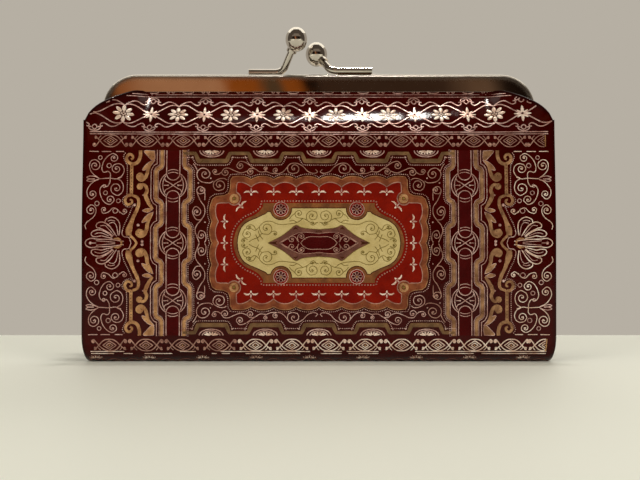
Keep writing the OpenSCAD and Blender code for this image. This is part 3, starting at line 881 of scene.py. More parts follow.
TOP_SCROLLS = [
    ([(3.4, 73.6), (1.4, 71.1), (5.1, 69.7), (10.9, 71.5), (15.9, 76.5), (21.7, 79.6), (27.5, 79.6),
      (31.2, 76.5), (30.8, 71.5), (26.7, 69.6), (21.7, 70.4)], ((24.8, 74.6), -1.0)),
    ([(31.2, 76.5), (35.8, 71.5), (40.8, 69.4), (45.7, 71.1)], ((43.4, 72.7), 1.1)),
    ([(40.8, 69.4), (47.4, 69.6), (52.4, 71.5), (55.3, 74.4)], ((53.2, 74.4), 1.0)),
    ([(52.4, 71.5), (59, 71.1), (64, 74), (68.9, 74.6), (71.8, 72)], ((68.5, 71.4), -1.2)),
    ([(64, 74), (68.9, 77.4), (73.9, 80.6), (79.3, 81.6), (82.6, 78.1)], ((78.9, 77.5), -1.2)),
    ([(71.8, 72), (78.1, 70.2), (84.7, 72.3), (90.5, 74.8), (95.1, 74.4), (97.6, 71.1)],
     ((93.8, 70.8), -1.2)),
    ([(97.6, 71.1), (100.5, 69), (104.6, 68.8), (106.9, 71.5)], ((104.4, 71.5), 1.0)),
    ([(92.5, 63), (95.2, 64.6), (100.5, 64), (105.4, 60.6), (105.4, 55.6), (101.5, 52.4), (96, 53.6)],
     ((99.8, 58.0), -1.1)),
]
CREAM_SCROLLS = [
    ([(0.8, 20.5), (6, 20), (11.5, 22.5), (12.4, 28), (8.5, 32), (3, 31)], ((6.6, 27), 1.1)),
    ([(11.5, 22.5), (16, 24.5), (22, 25.6), (24, 29.5), (21, 32.6)], ((20, 29.4), 1.0)),
    ([(16, 24.5), (22, 20.5), (30, 19), (40, 18.6), (47, 21.4), (54, 21.2), (59.5, 16), (57, 9.8),
      (50.5, 8.6)], ((52.6, 14.6), -1.1)),
    ([(59.5, 16), (64, 12.5), (68.5, 14.6), (74, 13.5), (76.4, 9)], ((71.6, 9), -1.1)),
    ([(57, 9.8), (61, 5.5), (66, 3.6), (70, 1.2)], None),
    ([(49, 10), (45.4, 11.8), (42.2, 10.6), (42.8, 8.2)], ((44, 9.4), 0.8)),
    ([(63, 13.4), (65.6, 17.4), (69.4, 18.2), (72.6, 16)], ((69.8, 16), -0.9)),
    ([(60.6, 12.4), (59.4, 8), (56, 3.6)], None),
    ([(63.4, 8.6), (62, 5.6), (60.4, 1.6)], None),
    ([(2.6, 20.6), (5, 17.8), (8, 18.6)], ((6.2, 19.6), 0.9)),
    ([(24, 29.5), (27.4, 27), (29.6, 24)], None),
    ([(22, 20.5), (25.6, 22.6), (29.4, 22)], None),
    ([(71, 3.4), (75.4, 4.6), (77.6, 2.4)], ((75.4, 2.6), -0.9)),
]
HEART_SCROLLS = [
    ([(20.2, 0.8), (21.4, 4.4), (20, 8.4), (16.6, 9.2), (14.8, 7)], ((17.4, 6.7), 1.0)),
    ([(20.6, 1.4), (23.4, 5.6), (27.4, 6.8), (30, 4.6)], ((27, 3.7), -1.0)),
    ([(29.6, 5), (33.4, 3.2), (37.4, 0.6)], None),
]
# Chain columns: their centre line, the half width of a bar, the upper link and the end of a bar from it.
CHAIN_A, BAR_HALF, LINK_B, BAR_END = 146.3, 6.6, 57.7, 11.9
# Upper end of the field, where its columns stop.
FIELD_B = 92.6
# Relief of the colour fields, one on the other, in millimetres.
ON_BAND, ON_RED, ON_RIM, ON_CREAM, ON_HEART_RIM, ON_HEART = 0.035, 0.055, 0.075, 0.095, 0.115, 0.135
ON_BAR, ON_LEAF, ON_STEM = 0.05, 0.06, 0.09
# Lengths of a lobe along the top and the side, and the middles of the eyelets and of the round bosses.
SCALLOP, SIDE_SCALLOP = 22.7, 21.5
EYELET, BOSS = (85, 44.5), (38, 33.8)
# Round ends of the acanthus stems.
STEM_ENDS = ((178.9, 66.8, 3.2), (179.6, 56.6, 3.2), (178.4, 9.8, 4.0))


def compass(turn, reach=1.0):
    """Point at this turn, in degrees, and this reach from the middle."""
    return reach * math.cos(math.radians(turn)), reach * math.sin(math.radians(turn))


def lobe(t, period):
    return np.abs(np.sin(math.pi * t / period)) ** 0.7


def scalloped(top_cusp, top_crest, end_a, corner, side_cusp, side_crest, start_b):
    """Quarter of the lobed frame round the red field."""
    a = np.linspace(0, end_a, 58)
    b = np.linspace(start_b, 0, 30)
    top = np.column_stack([a, top_cusp + (top_crest - top_cusp) * lobe(a, SCALLOP)])
    side = np.column_stack([side_cusp + (side_crest - side_cusp) * lobe(b, SIDE_SCALLOP), b])
    return np.vstack([top, corner, side])


def stepped(sign):
    """Centre line of the stepped strap beside the chain."""
    narrow, wide = 11.3, 17.2
    steps = [
        (narrow, 93), (narrow, 78.5), (narrow + 1.2, 75.8), (wide - 1.2, 74), (wide, 71.5), (wide, 45.5),
        (wide - 1.2, 43), (narrow + 1.2, 41), (narrow, 38.6), (narrow, 21), (narrow + 1.2, 18.6),
        (wide - 1.2, 16.8), (wide, 14.4), (wide, 0),
    ]
    return straight([(CHAIN_A + sign * o, b) for o, b in steps], 1.4)


def trefoil(o, a, b, turn, sides):
    """Small bow of three drops."""
    c, s = compass(turn)
    def at(points):
        return np.asarray([(a + x * c - y * s, b + x * s + y * c) for x, y in points])
    for way in (-1, 1):
        wing = [(way * 0.9, -0.2), (way * 2.6, 0.9), (way * 4.8, 0.9), (way * 7.2, -0.3)]
        o.line(at(wing), [0.55, 1.1, 1.2, 0.4], PALE, sides, crown=0.6, lift=ON_RED)
    tail, bud = [(0, -0.8), (0, -1.8), (0, -3)], [(0, 4.4), (0, 3), (0, 1.4), (0, 0.4)]
    o.line(at(tail), [0.8, 1.3, 0.55], PALE, sides, crown=0.6, lift=ON_RED)
    o.line(at(bud), [0.35, 0.9, 1.2, 0.55], LINE, sides, crown=0.5, lift=ON_RED)


def lobed_frame(o):
    """Bronze frame of lobes round the red field, with an eyelet in each corner."""
    eyelet = arc(*EYELET, 6.6, 112, 322)
    inner = scalloped(55.4, 60.8, 80.5, np.vstack([[(82.0, 60), (82.6, 57), (82.7, 52)], eyelet,
                      [(92.4, 40.1), (98.5, 40.1), (102, 39.4)]]), 100.2, 103.6, 38)
    outer = scalloped(63.2, 66.8, 82, [(86.6, 66.2), (88.6, 63), (88.9, 54), (90.6, 49.6), (95, 47.4),
                      (103, 46.6), (106.6, 44), (108, 40)], 106.8, 109.3, 38)
    edge = scalloped(65.4, 69, 83, [(88.5, 68.6), (91, 64.5), (91.2, 55), (92.6, 51.4), (96, 49.6),
                     (104.6, 48.8), (109, 45.8), (110.4, 41)], 109.1, 111.7, 38)
    o.fill(whole(outer), BRONZE, ON_BAND, ONCE)
    o.fill(whole(inner), RED, ON_RED, ONCE)
    o.line(whole(inner), 0.6, COPPER_LINE, ONCE, True, lift=ON_RED)
    o.line(whole(outer), 0.4, GOLD, ONCE, True, lift=ON_BAND)
    o.beaded(whole(edge), 1.9, 0.55, LINE, ONCE)
    o.line(ring(*EYELET, 3.4), 1.55, GOLD, closed=True, crown=0.3, lift=ON_RED)
    o.bead(EYELET, 1.4, OLIVE, lift=ON_RED)


def medallion(o):
    """Cream medallion with a rust rim, round bosses and a row of beads."""
    band = flow([(58.2, 33.4), (60, 31.2), (66, 27.2), (74, 23.4), (81.2, 15.4), (84.7, 6), (85.5, 0)])
    band = np.vstack([[(0, 40), (20, 40), (40, 40), (56.2, 40), (56, 36.4)], band])
    bite = arc(*BOSS, 10.6, 174, 346)
    cream = flow([(53.4, 29.4), (61.5, 25.6), (71.4, 21.3), (77.4, 15.8), (80.7, 7.6), (81.8, 0)])
    cream = np.vstack([[(0, 35), (14, 35), (27, 35)], bite, [(51.4, 31.4)], cream])
    o.fill(whole(band), RUST, ON_RIM, ONCE)
    o.fill(whole(cream), CREAM, ON_CREAM, ONCE)
    o.line(whole(cream), 0.55, UMBER, ONCE, True, lift=ON_RIM)
    o.fill(ring(*BOSS, 7), RED, ON_HEART_RIM)
    o.line(ring(*BOSS, 7.2), 0.5, LINE, closed=True, lift=ON_CREAM)
    o.fill(ring(*BOSS, 5), MAROON, ON_HEART)
    for turn in range(0, 360, 45):
        spoke = [np.add(BOSS, compass(turn + 22, r)) for r in (1.2, 2.8, 4.4)]
        o.line(spoke, 0.4, LINE, lift=ON_HEART)
        o.line(arc(*np.add(BOSS, compass(turn, 3.9)), 1.5, turn - 100, turn + 100), 0.35, LINE, lift=ON_HEART)
    o.bead(BOSS, 1.0, GOLD, lift=ON_HEART)
    beads = flow([(57.9, 40.6), (58.6, 36.8), (62.4, 32.6), (67.6, 29.6), (75.4, 25.6), (83, 18), (86.9, 9),
                  (88, 0)])
    o.beaded(whole(np.vstack([straight([(0, 42), (57, 42)]), beads])), 2.9, 0.85, COPPER_LINE, ONCE, ON_RED)
    o.scrolls(CREAM_SCROLLS, 0.45, OLIVE, FOUR, ON_CREAM)


def heart(o):
    """Dark heart of the medallion, with its oval and scrolls."""
    heart_out = flow([(0, 13.7), (12, 14.6), (18, 15.8), (23.3, 17.8), (30, 12.6), (38.1, 6.7), (51.1, 0)])
    heart_in = flow([(0, 9.3), (8, 10.4), (18, 10.6), (24, 8.6), (32, 4.8), (39.3, 0)])
    o.fill(whole(heart_out), MAUVE, ON_HEART_RIM, ONCE)
    o.line(whole(heart_out), 0.35, OLIVE, ONCE, True, lift=ON_HEART_RIM)
    o.fill(whole(heart_in), MAROON, ON_HEART, ONCE)
    o.line(whole(heart_in), 0.4, COPPER_LINE, ONCE, True, lift=ON_HEART)
    oval = flow([(0, 6.2), (9.3, 6.2), (15, 3.6), (18.3, 0)])
    o.line(whole(oval), 0.5, COPPER_LINE, ONCE, True, lift=ON_HEART)
    o.scrolls(HEART_SCROLLS, 0.5, COPPER_LINE, FOUR, ON_HEART)
    o.fill(np.asarray([(41.4, 1.9), (51, 0), (41.4, -1.9), (43, 0)]), UMBER, ON_HEART, LEFT_RIGHT)
    o.fill(np.asarray([(20.4, 13.4), (23.4, 16.2), (26.2, 13.6), (23.4, 14)]), UMBER, ON_HEART)
    o.line([(-3, 11.7), (0, 12), (3, 11.7)], 0.7, UMBER, UP_DOWN, lift=ON_HEART)


def trefoils(o):
    """Bows in the lobes of the red field."""
    top_b, side_a = 50.6, 94
    for a in (22.7, 45.4, 68):
        trefoil(o, a, top_b, 0, FOUR)
    trefoil(o, 0, top_b, 0, UP_DOWN)
    trefoil(o, side_a, SIDE_SCALLOP, -90, FOUR)
    trefoil(o, side_a, 0, -90, LEFT_RIGHT)
    trefoil(o, 78, 36.9, -45, FOUR)


def vine_and_crenels(o):
    """Vine and crenellated strap along the top and bottom, with a fan in each gap."""
    o.scrolls(TOP_SCROLLS, finish=COPPER_LINE, sides=LEFT_RIGHT)
    o.scrolls(TOP_SCROLLS, sides=LOWER_HALF)
    low, high, ramp = 82.1, 89.7, 3.4
    steps = [(0, low)]
    for a, to in ((14, high), (36, low), (67.4, high), (89.4, low), (121, high)):
        steps += [(a, steps[-1][1]), (a + ramp, to)]
    crenel = straight(steps + [(136, high)], 1.6)
    both = np.vstack([(crenel * (-1, 1))[::-1][:-1], crenel])
    # The crenellated strap takes the shaded copy of the gilt, a painted shade.
    o.strap(both, np.interp(both[:, 1], (low, high), (2.8, 2.2)), CRENEL_SHADE, UP_DOWN)
    o.beaded(beside(crenel, -4.2), 1.9, 0.6)
    fan_w, fan_h = 12, 6.4
    ray_b, ray_h = 92.8, 6.2
    for a, sides in ((0, UP_DOWN), (53.7, FOUR), (107.8, FOUR)):
        for r, wide in ((1.0, 0.7), (0.74, 0.6)):
            o.line(arc(a, FIELD_B, fan_w * r, 182, 358, ry=fan_h * r), wide, LINE, sides)
        for turn in (-66, -40, -13, 13, 40, 66):
            x, y = math.sin(math.radians(turn)), -math.cos(math.radians(turn))
            ray = [(a + f * fan_w * x, ray_b + f * ray_h * y) for f in (0.12, 0.34, 0.54, 0.66)]
            o.line(ray, [0.4, 0.9, 1.1, 0.5], PALE, sides, crown=0.5)


def chain_columns(o):
    """Stepped straps beside a chain of bars and links."""
    o.scrolls(SIDE_SCROLLS, sides=LEFT_HALF)
    o.scrolls(SIDE_SCROLLS, finish=COPPER_LINE, sides=UP_DOWN)
    o.bead([(114, 20.8), (118, 7.6), (108.5, 64.8), (121, 60)], 0.8)
    for sign in (-1, 1):
        centre = stepped(sign)
        for gilt, sides in GILT_SIDES:
            o.strap(centre, 2.15, gilt, sides)
        o.line(beside(centre, 2.3), 0.35, LINE)
        o.line(beside(centre, -2.3), 0.35, LINE)
    o.line(beside(stepped(1), 5.0), 0.5, LINE)
    o.beaded(beside(stepped(-1), -4.0), 1.9, 0.55)
    for b, sides in ((LINK_B, FOUR), (0, LEFT_RIGHT)):
        for way in (-1, 1):
            def at(points):
                return np.asarray([(CHAIN_A + way * x, b + y) for x, y in points], float)
            strand = [(9, 7.4), (7.4, 4.4), (5.2, 3.4), (2.6, 1.8)]
            strand += [(0, 0)] + [(-x, -y) for x, y in strand[::-1]]
            o.line(at(arc(0, 0, 13.4, -60, 60)), 0.6, LINE, sides)
            o.line(flow(at([(7.6, 9.6), (9.6, 5), (10.4, 0), (9.6, -5), (7.6, -9.6)])), 0.55, LINE, sides)
            o.line(flow(at(strand)), 0.55, LINE, sides)
            o.line(at([(9.4, 0), (7, 0), (4.8, 0)]), 0.5, LINE, sides)
            o.bead(at([(5, 0)]), 0.9, LINE, sides)
    foot = arc(CHAIN_A, BAR_END, BAR_HALF, 180, 360)
    low_bar = np.vstack([foot, arc(CHAIN_A, LINK_B - BAR_END, BAR_HALF, 0, 180)])
    top_bar = np.vstack([[(CHAIN_A - BAR_HALF, FIELD_B)], arc(CHAIN_A, LINK_B + BAR_END, BAR_HALF, 180, 360),
                         [(CHAIN_A + BAR_HALF, FIELD_B)]])
    o.fill(low_bar, MAROON, ON_BAR)
    o.fill(top_bar, MAROON, ON_BAR)
    o.line(low_bar, 0.6, LINE, closed=True)
    o.line(straight(top_bar, 1.6), 0.6, LINE)
    reach, drop = 10.2, 9
    for b in (LINK_B + BAR_END, LINK_B + 14.6, BAR_END, 14.6):
        o.line(arc(CHAIN_A, b - drop, reach, 60, 120), 0.5, LINE)
    for b in (LINK_B - 12.3, LINK_B - 15.5):
        o.line(arc(CHAIN_A, b + drop, reach, 240, 300), 0.5, LINE)


def acanthus_columns(o):
    """Acanthus leaves and stems, with the ogee straps outside them."""
    for leaf in ACANTHUS_LEAVES:
        outline = flow(leaf + leaf[:1])[:-1]
        for gilt, sides in GILT_SIDES:
            o.fill(outline, gilt, ON_LEAF, sides)
        o.line(outline, 0.35, LINE, closed=True)
    for points, half in ACANTHUS_STEMS + OGEE_STRAPS:
        for gilt, sides in GILT_SIDES:
            o.strap(flow(points), half, gilt, sides)
    for end in STEM_ENDS:
        for gilt, sides in GILT_SIDES:
            o.fill(ring(*end), gilt, ON_STEM, sides)
    o.bead([(181, 17.9), (176.9, 1.6), (184.6, 38)], 1.6, LINE)
    o.bead(along(np.asarray([(188.1, 78.0), (188.1, 49.0)]), 3.2), 0.6, MAROON)
    o.beaded(flow(OGEE_BEADS), 1.9, 0.6)
    o.line(flow(OGEE_LINE), 0.55, LINE)


def outer_columns(o):
    """Scrolls, buds and palmettes along the sides of the leather."""
    for bud in SIDE_BUDS:
        o.line(flow(bud), 0.6, LINE)
    # The right columns' scrolls and petals take the pale gilt, a painted glint; the left ones take the line
    # gilt.
    o.scrolls(OUTER_SCROLLS, sides=LEFT_HALF)
    o.scrolls(OUTER_SCROLLS, finish=PALE, sides=UP_DOWN)
    for a, b, r in SMALL_RINGS:
        o.line(ring(a, b, r), 0.5, LINE, closed=True)
    for petal in PETALS:
        o.line(flow(petal), 0.7, LINE, LEFT_HALF)
        o.line(flow(petal), 0.7, PALE, UP_DOWN)
    for vein in PETAL_VEINS:
        o.line(flow(vein), 0.5, LINE)
    o.fill(np.asarray(PALMETTE_WEDGE), GOLD, ON_LEAF)
    o.bead((228.7, 0), 1.6, LINE, LEFT_RIGHT)
    o.line([(227.4, 0), (225, 0), (223, 0)], 0.5, LINE, LEFT_RIGHT)
    o.bead((197.6, 1.2), 1.4, GOLD)


def field_ornament():
    o = Ornament()
    for draw in (lobed_frame, medallion, heart, trefoils, vine_and_crenels, chain_columns, acanthus_columns,
                 outer_columns):
        draw(o)
    return o


WHOLE_RUN = ((-231, 231),)


def band_line(o, s, half, finish=LINE, runs=WHOLE_RUN):
    """Straight line across the leather, in one run or with worn gaps."""
    b = (s - FIELD_Z) / STEP
    for start, end in runs:
        o.line(straight([(start, b), (end, b)], 2.5), half, finish, ONCE)


# What is left of the two lines along the base, in pattern steps.
BASE_RUNS = [(-230, -196), (-140, -124), (-99, -9), (5, 23), (28, 60), (97, 229)]
LOW_BASE_RUNS = [(-230, -207), (-197, -188), (-176, -148), (-108, -103), (-98, -90), (-74, -19), (2, 23),
                 (30, 60), (99, 156), (164, 229)]
# Lozenges are counted from the middle: those up to the first number are worn, those past the second are cut.
WORN_TO, LAST_WHOLE = -3, 5
# Places across of the middle lozenge, of the cut one and of the line beside that.
LOZENGE_A, END_LOZENGE_A, END_LINE_A = 9.7, 227, 228
LOZENGE_PITCH, END_LINE_HALF = 36.6, 6.4
# Places across of the rosettes and of the stars between them.
ROSETTE_A, STAR_A, ROSETTE_PITCH = 17.5, 44.6, 54.2
# Heights up the leather, which the bands under the field mirror.
ROSETTE_S, FAN_S, OUTER_LINE_S = 96.1, 89.0, 105.5
UPPER_LOZENGE_S, UPPER_LINES = 82.5, ((85.5, 0.55), (86.5, 0.65))
LOWER_LOZENGE_S, LOWER_LINES = 82.3, ((84.9, BASE_RUNS), (85.9, LOW_BASE_RUNS))
RIM_LINE_S, RIM_LOZENGE_S = 106.6, 109.4
# Leather that a star or a rosette needs all round its middle, in millimetres.
STAR_ROOM, ROSETTE_ROOM = 4.0, 4.2


def row_s(way, s):
    """Height of a row above the field, or of the row that mirrors it."""
    return FIELD_Z + way * (s - FIELD_Z)


def base_fan(o, a, s):
    """Fan of short rays under the base lines."""
    b = (s - FIELD_Z) / STEP
    for turn in (-62, -34, 0, 34, 62):
        x, y = math.sin(math.radians(turn)), math.cos(math.radians(turn))
        o.line([(a + r * x, b + 0.8 * r * y) for r in (1.8, 4.4, 7.4)], [0.5, 1.0, 0.4], PALE, ONCE)


def narrow_band(o, middle, way, fresh, worn, tall=1.0, half=0.62):
    """Band of nested lozenges between crossed ribbons that end in curls."""
    offset = (middle - FIELD_Z) / STEP
    for k in range(-6, LAST_WHOLE + 2):
        cut = k > LAST_WHOLE
        a = END_LOZENGE_A if cut else LOZENGE_A + LOZENGE_PITCH * k
        finish = worn if k <= WORN_TO else fresh
        def at(points, side=1):
            return np.asarray([(a + side * x, offset + way * tall * y) for x, y in points], float)
        for side in (-1,) if cut else (-1, 1):
            for r in (1.0, 0.52):
                lozenge = at([(0, 4.7 * r), (6.8 * r, 0), (0, -4.7 * r)], side)
                o.line(straight(lozenge, 1.6), 0.9 * half, finish, ONCE)
            low = flow(at([(0, -6.2), (4, -5.7), (7.4, -3.6), (10.4, -0.4), (13, 2.4), (15.8, 4.9)], side))
            high = flow(at([(0, 6.2), (4, 5.7), (7.4, 3.6), (10.4, 0.4), (12.6, -2.6), (15.2, -5.8)], side))
            o.line(curl(low, at([(15.2, 3.1)], side)[0], side * way * 0.75), half, finish, ONCE)
            o.line(curl(high, at([(15.8, -3.7)], side)[0], side * way * 0.8), half, finish, ONCE)
            o.line(flow(at([(9.6, 5.4), (11.4, 3.4), (12.2, 1.4)], side)), 0.5, finish, ONCE)
            o.bead(at([(15.8, -3.9)], side), 1.35, finish, ONCE)
            o.bead(at([(15.2, 3.3)], side), 0.95, finish, ONCE)
        o.bead(at([(0, 0)]), 0.8, GOLD, ONCE)
    end_line = [(END_LINE_A, offset - END_LINE_HALF), (END_LINE_A, offset + END_LINE_HALF)]
    o.line(straight(end_line, 1.6), 0.7, GOLD, ONCE)


# A quarter of the strands round a rosette, from its middle, with their half widths.
STRANDS = (
    ([(27, 0.4), (23, 2.2), (19.5, 4.8), (14.5, 9.2), (10, 12.6), (6.2, 13.8), (2.5, 13.4), (0, 12)], 0.8),
    ([(0, 12), (3, 15), (7.5, 18.2), (12, 18.4), (15.5, 15.6), (18.8, 13.8), (21.6, 15.8), (21, 18.6),
      (19.2, 18)], 0.75),
    ([(27.1, 24.6), (23.4, 23.2), (21.4, 20.6), (22.8, 19), (24, 20.2)], 0.75),
    ([(27.1, 23), (25, 20.4), (25.2, 17.6), (27.1, 16)], 0.7),
)


def flower_band(o, middle, way, finish):
    """Band of eye shaped strands round the rosettes, with arches over the stars."""
    offset = (middle - FIELD_Z) / STEP
    for k in range(-5, 6):
        a = ROSETTE_A + ROSETTE_PITCH * k
        for side in (-1, 1):
            for up in (-1, 1):
                for points, half in STRANDS:
                    laid = [(a + side * x, offset + way * up * y) for x, y in points]
                    o.line(flow(laid), half, finish, ONCE)


def star(o, a, middle):
    """Star of tapered rays, longest upright."""
    b = (middle - FIELD_Z) / STEP
    for turn, reach, wide in ((90, 11.2, 2.0), (0, 8.4, 1.5), (45, 7.4, 1.5), (135, 7.4, 1.5)):
        c, s = compass(turn)
        for way in (-1, 1):
            ray = [(a + way * r * reach * c, b + way * r * reach * s) for r in (0.1, 0.35, 0.62, 0.85, 1.0)]
            o.line(ray, [wide * 0.7, wide, wide * 0.9, wide * 0.6, wide * 0.2], PALE, ONCE, crown=0.45)
    o.bead((a, b), 1.3, MAROON, ONCE, 0.12)


def band_ornament():
    """Bands above and under the field: lozenges, lines, rosettes' strands and stars."""
    o = Ornament()
    for way in (1, -1):
        if way == 1:
            narrow_band(o, row_s(way, UPPER_LOZENGE_S), way, COPPER_LINE, COPPER_LINE, 1.08)
            for s, half in UPPER_LINES:
                band_line(o, row_s(way, s), half)
        else:
            narrow_band(o, row_s(way, LOWER_LOZENGE_S), way, PALE, COPPER_LINE, 1.0, 0.72)
            for s, runs in LOWER_LINES:
                band_line(o, row_s(way, s), 0.6, PALE, runs)
        middle = row_s(way, ROSETTE_S)
        flower_band(o, middle, way, LINE if way == 1 else MAUVE)
        for k in range(-5, 5):
            a = STAR_A + ROSETTE_PITCH * k
            if room_for((a * STEP, level([a * STEP], [middle])[0]), STAR_ROOM):
                star(o, a, middle)
            if way == -1:
                base_fan(o, a, row_s(way, FAN_S))
        band_line(o, row_s(way, OUTER_LINE_S), 0.45)
        if way == 1:
            band_line(o, RIM_LINE_S, 0.45)
            narrow_band(o, RIM_LOZENGE_S, way, LINE, LINE)
    return o


# Leather left plain at its cut top, at its sides and along the middle of the base, and how far the tooling
# goes on under the frame, in millimetres.
TOP_PLAIN, SIDE_PLAIN, BASE_PLAIN, UNDER_FRAME = 0.5, 0.9, 0.2, 1.2


def inside(p):
    """Which pattern points lie on the leather, clear of its cut edge."""
    x, s = p[:, 0], p[:, 1]
    top = edge_s(x) + np.minimum(tuck(x) - TOP_PLAIN, UNDER_FRAME)
    return (np.abs(x) < HALF_W - SIDE_PLAIN) & (s < top) & (s > BASE_MIDDLE + BASE_PLAIN)


def room_for(point, reach):
    """Whether a flower of this reach has leather all round it."""
    return inside(arc(point[0], point[1], reach, 0, 330)).all()


def line_parts(o, tool, name):
    """Meshes of an ornament's lines, one for each finish and crown."""
    groups = {}
    for points, wide, finish, closed, crown, lift in o.lines:
        keep = inside(points)
        verts, edges, widths = groups.setdefault((finish.name, crown, lift), ([], [], []))
        if keep.all():
            runs = [np.arange(len(points))]
        else:
            closed = False
            cuts = np.flatnonzero(np.diff(keep.astype(int))) + 1
            runs = [r for r in np.split(np.arange(len(points)), cuts) if keep[r[0]]]
        for run in runs:
            if len(run) < 2:
                continue
            first = len(verts)
            verts.extend(points[run])
            widths.extend(wide[run])
            edges.extend((first + i, first + i + 1) for i in range(len(run) - 1))
            if closed:
                edges.append((first + len(run) - 1, first))
    parts = []
    for (finish, crown, lift), (verts, edges, widths) in groups.items():
        material = bpy.data.materials[finish]
        mesh, co = grown(name, tool, verts, edges, widths, {"Crown": crown, "Finish": material})
        parts.append((mesh, co, material, lift))
    return parts


def bead_parts(o, tool, name):
    groups = {}
    for points, half, finish, lift in o.beads:
        verts, widths = groups.setdefault((finish.name, lift), ([], []))
        for p in points[inside(points)]:
            verts.append(p)
            widths.append(half)
    parts = []
    for (finish, lift), (verts, widths) in groups.items():
        material = bpy.data.materials[finish]
        mesh, co = grown(name, tool, verts, [], widths, {"Crown": BEAD_CROWN, "Finish": material})
        parts.append((mesh, co, material, lift))
    return parts


# How far the plates of the colour fields go into the leather, in millimetres.
SUNK = 0.05


def field_parts(o, name):
    """Thin closed plates of the colour fields."""
    parts = []
    for points, finish, lift in o.fields:
        n = len(points)
        flat = [Vector((p[0], p[1], 0)) for p in points]
        tops = tessellate_polygon([flat])
        verts = np.vstack([np.column_stack([points, np.full(n, h)]) for h in (lift, -SUNK)])
        faces = [tuple(t) for t in tops] + [tuple(i + n for i in t[::-1]) for t in tops]
        faces += [(i, (i + 1) % n, (i + 1) % n + n, i + n) for i in range(n)]
        mesh = bpy.data.meshes.new(name)
        mesh.from_pydata([tuple(v) for v in verts], [], faces)
        face_out(mesh, False)
        parts.append((mesh, verts, finish, 0.0))
    return parts


# Leather, gussets and lining.


def leather_top(x):
    return edge_s(x) + tuck(x)


def no_depth(x, s):
    return 0 * x


# Lining: how far it goes up past the leather's edge, and its drop beside the frame's channel.
LINING_RISE, LINING_DROP, DROP_X, DROP_RUN = 4.0, 5.0, 59.0, 5.0
# Its depth under the leather's face, and the room for a board that it gains below the edge.
LINING_IN, BOARD_ROOM, ROOM_BELOW, ROOM_RUN = 1.3, 1.1, 2.0, 20.0


def lining_top(x):
    return edge_s(x) + LINING_RISE - LINING_DROP * smooth((np.abs(x) - DROP_X) / DROP_RUN)


def lining_depth(x, s):
    below = edge_s(np.clip(x, -HALF_W, HALF_W)) - ROOM_BELOW - s
    return LINING_IN + BOARD_ROOM * smooth(below / ROOM_RUN)


LEATHER_HALF, LINING_HALF = HALF_W - LEATHER_T / 2, 74.1
leather_front = sheet("leather_front", LEATHER_HALF, 131, leather_top, no_depth, LEATHER_T, LEATHER)
leather_back = turned(leather_front, "leather_back")
lining_front = sheet("lining_front", LINING_HALF, 61, lining_top, lining_depth, LINING_T, LINING)
lining_back = turned(lining_front, "lining_back")


# Gussets: foot and top, how far they fold in there, and their gaps to the leather and to its side edge.
GUSSET_FOOT, GUSSET_TOP = 1.55, 77.6
FOLD_FOOT, FOLD_TOP = 3.33, 10.0
GUSSET_GAP, GUSSET_IN = 0.35, 1.0
# Depth of their creases, and the turn of a crease in a millimetre up and across half the fold.
CREASE, CREASE_UP, CREASE_ACROSS = 0.25, 0.32, 2.0
# Share of the height that is darker at the top, rows and columns of points, and how the rows spread upwards.
TOP_DARK_SHARE = 0.05
GUSSET_ROWS, GUSSET_COLS, ROW_SPREAD = 54, 41, 1.3


def gusset(name):
    """Folded side of the pouch, on the right."""
    def inside_y(z):
        low = BASE_Y - BASE_R + np.sqrt(np.clip((BASE_R - LEATHER_T) ** 2 - (BASE_R - z) ** 2, 0, None))
        lean = (BASE_Y - SHOULDER_Y) * (z - BASE_R) / (SHOULDER_Z - BASE_R)
        return np.where(z < BASE_R, low, BASE_Y - LEATHER_T - lean) - GUSSET_GAP
    rows, cols = GUSSET_ROWS, GUSSET_COLS
    t = np.linspace(0, 1, rows)[:, None]
    v = np.linspace(-1, 1, cols)[None, :]
    z = GUSSET_FOOT + (GUSSET_TOP - GUSSET_FOOT) * t**ROW_SPREAD + 0 * v
    fold = FOLD_FOOT + (FOLD_TOP - FOLD_FOOT) * t
    crease = CREASE * np.sin(z * CREASE_UP + CREASE_ACROSS * v) * (1 - v**2) * t
    verts = []
    for depth in (0, GUSSET_T):
        folded_in = fold * (0.5 + 0.5 * np.cos(math.pi * v))
        x = HALF_W * side_scale(z) - GUSSET_IN - folded_in - depth + crease
        verts.append(np.stack([x, v * inside_y(z), z], axis=-1).reshape(-1, 3))
    size = rows * cols
    faces = []
    for k in (0, size):
        faces += [
            (k + j * cols + i, k + j * cols + i + 1, k + (j + 1) * cols + i + 1, k + (j + 1) * cols + i)
            for j in range(rows - 1)
            for i in range(cols - 1)
        ]
    rim = list(range(cols))
    rim += [j * cols + cols - 1 for j in range(1, rows)]
    rim += [(rows - 1) * cols + i for i in range(cols - 2, -1, -1)]
    rim += [j * cols for j in range(rows - 2, 0, -1)]
    faces += [(a, b, b + size, a + size) for a, b in zip(rim, rim[1:] + rim[:1])]
    edge = np.tile((smooth((t - 1 + TOP_DARK_SHARE) / TOP_DARK_SHARE) + 0 * v).ravel(), 2)
    return make(name, np.vstack(verts), faces, GUSSET_LEATHER, edge)


right_gusset = gusset("gusset_right")
left_gusset = turned(right_gusset, "gusset_left")

# Tooling on the front, and the same on the back.

TOOL, BEAD, FLOWER = tooling_tree(), bead_tree(), flower_tree()
field = field_ornament()
bands = band_ornament()


def rosette_places():
    """Middles of the rosettes that have room on the leather."""
    places = []
    for way in (1, -1):
        middle = row_s(way, ROSETTE_S)
        places += [((ROSETTE_A + ROSETTE_PITCH * k) * STEP, middle) for k in range(-5, 6)]
    places = np.asarray(places)
    places[:, 1] = level(places[:, 0], places[:, 1])
    return [tuple(p) for p in places if room_for(p, ROSETTE_ROOM)]


FLOWER_LIFT = 0.05
ROSETTES = rosette_places()


def flowers(petals, reach, petal_width, crown):
    values = {"Petals": petals, "Reach": reach, "Petal width": petal_width, "Crown": crown, "Finish": PALE}
    mesh, co = grown("flower", FLOWER, ROSETTES, [], None, values)
    return mesh, co, PALE, FLOWER_LIFT


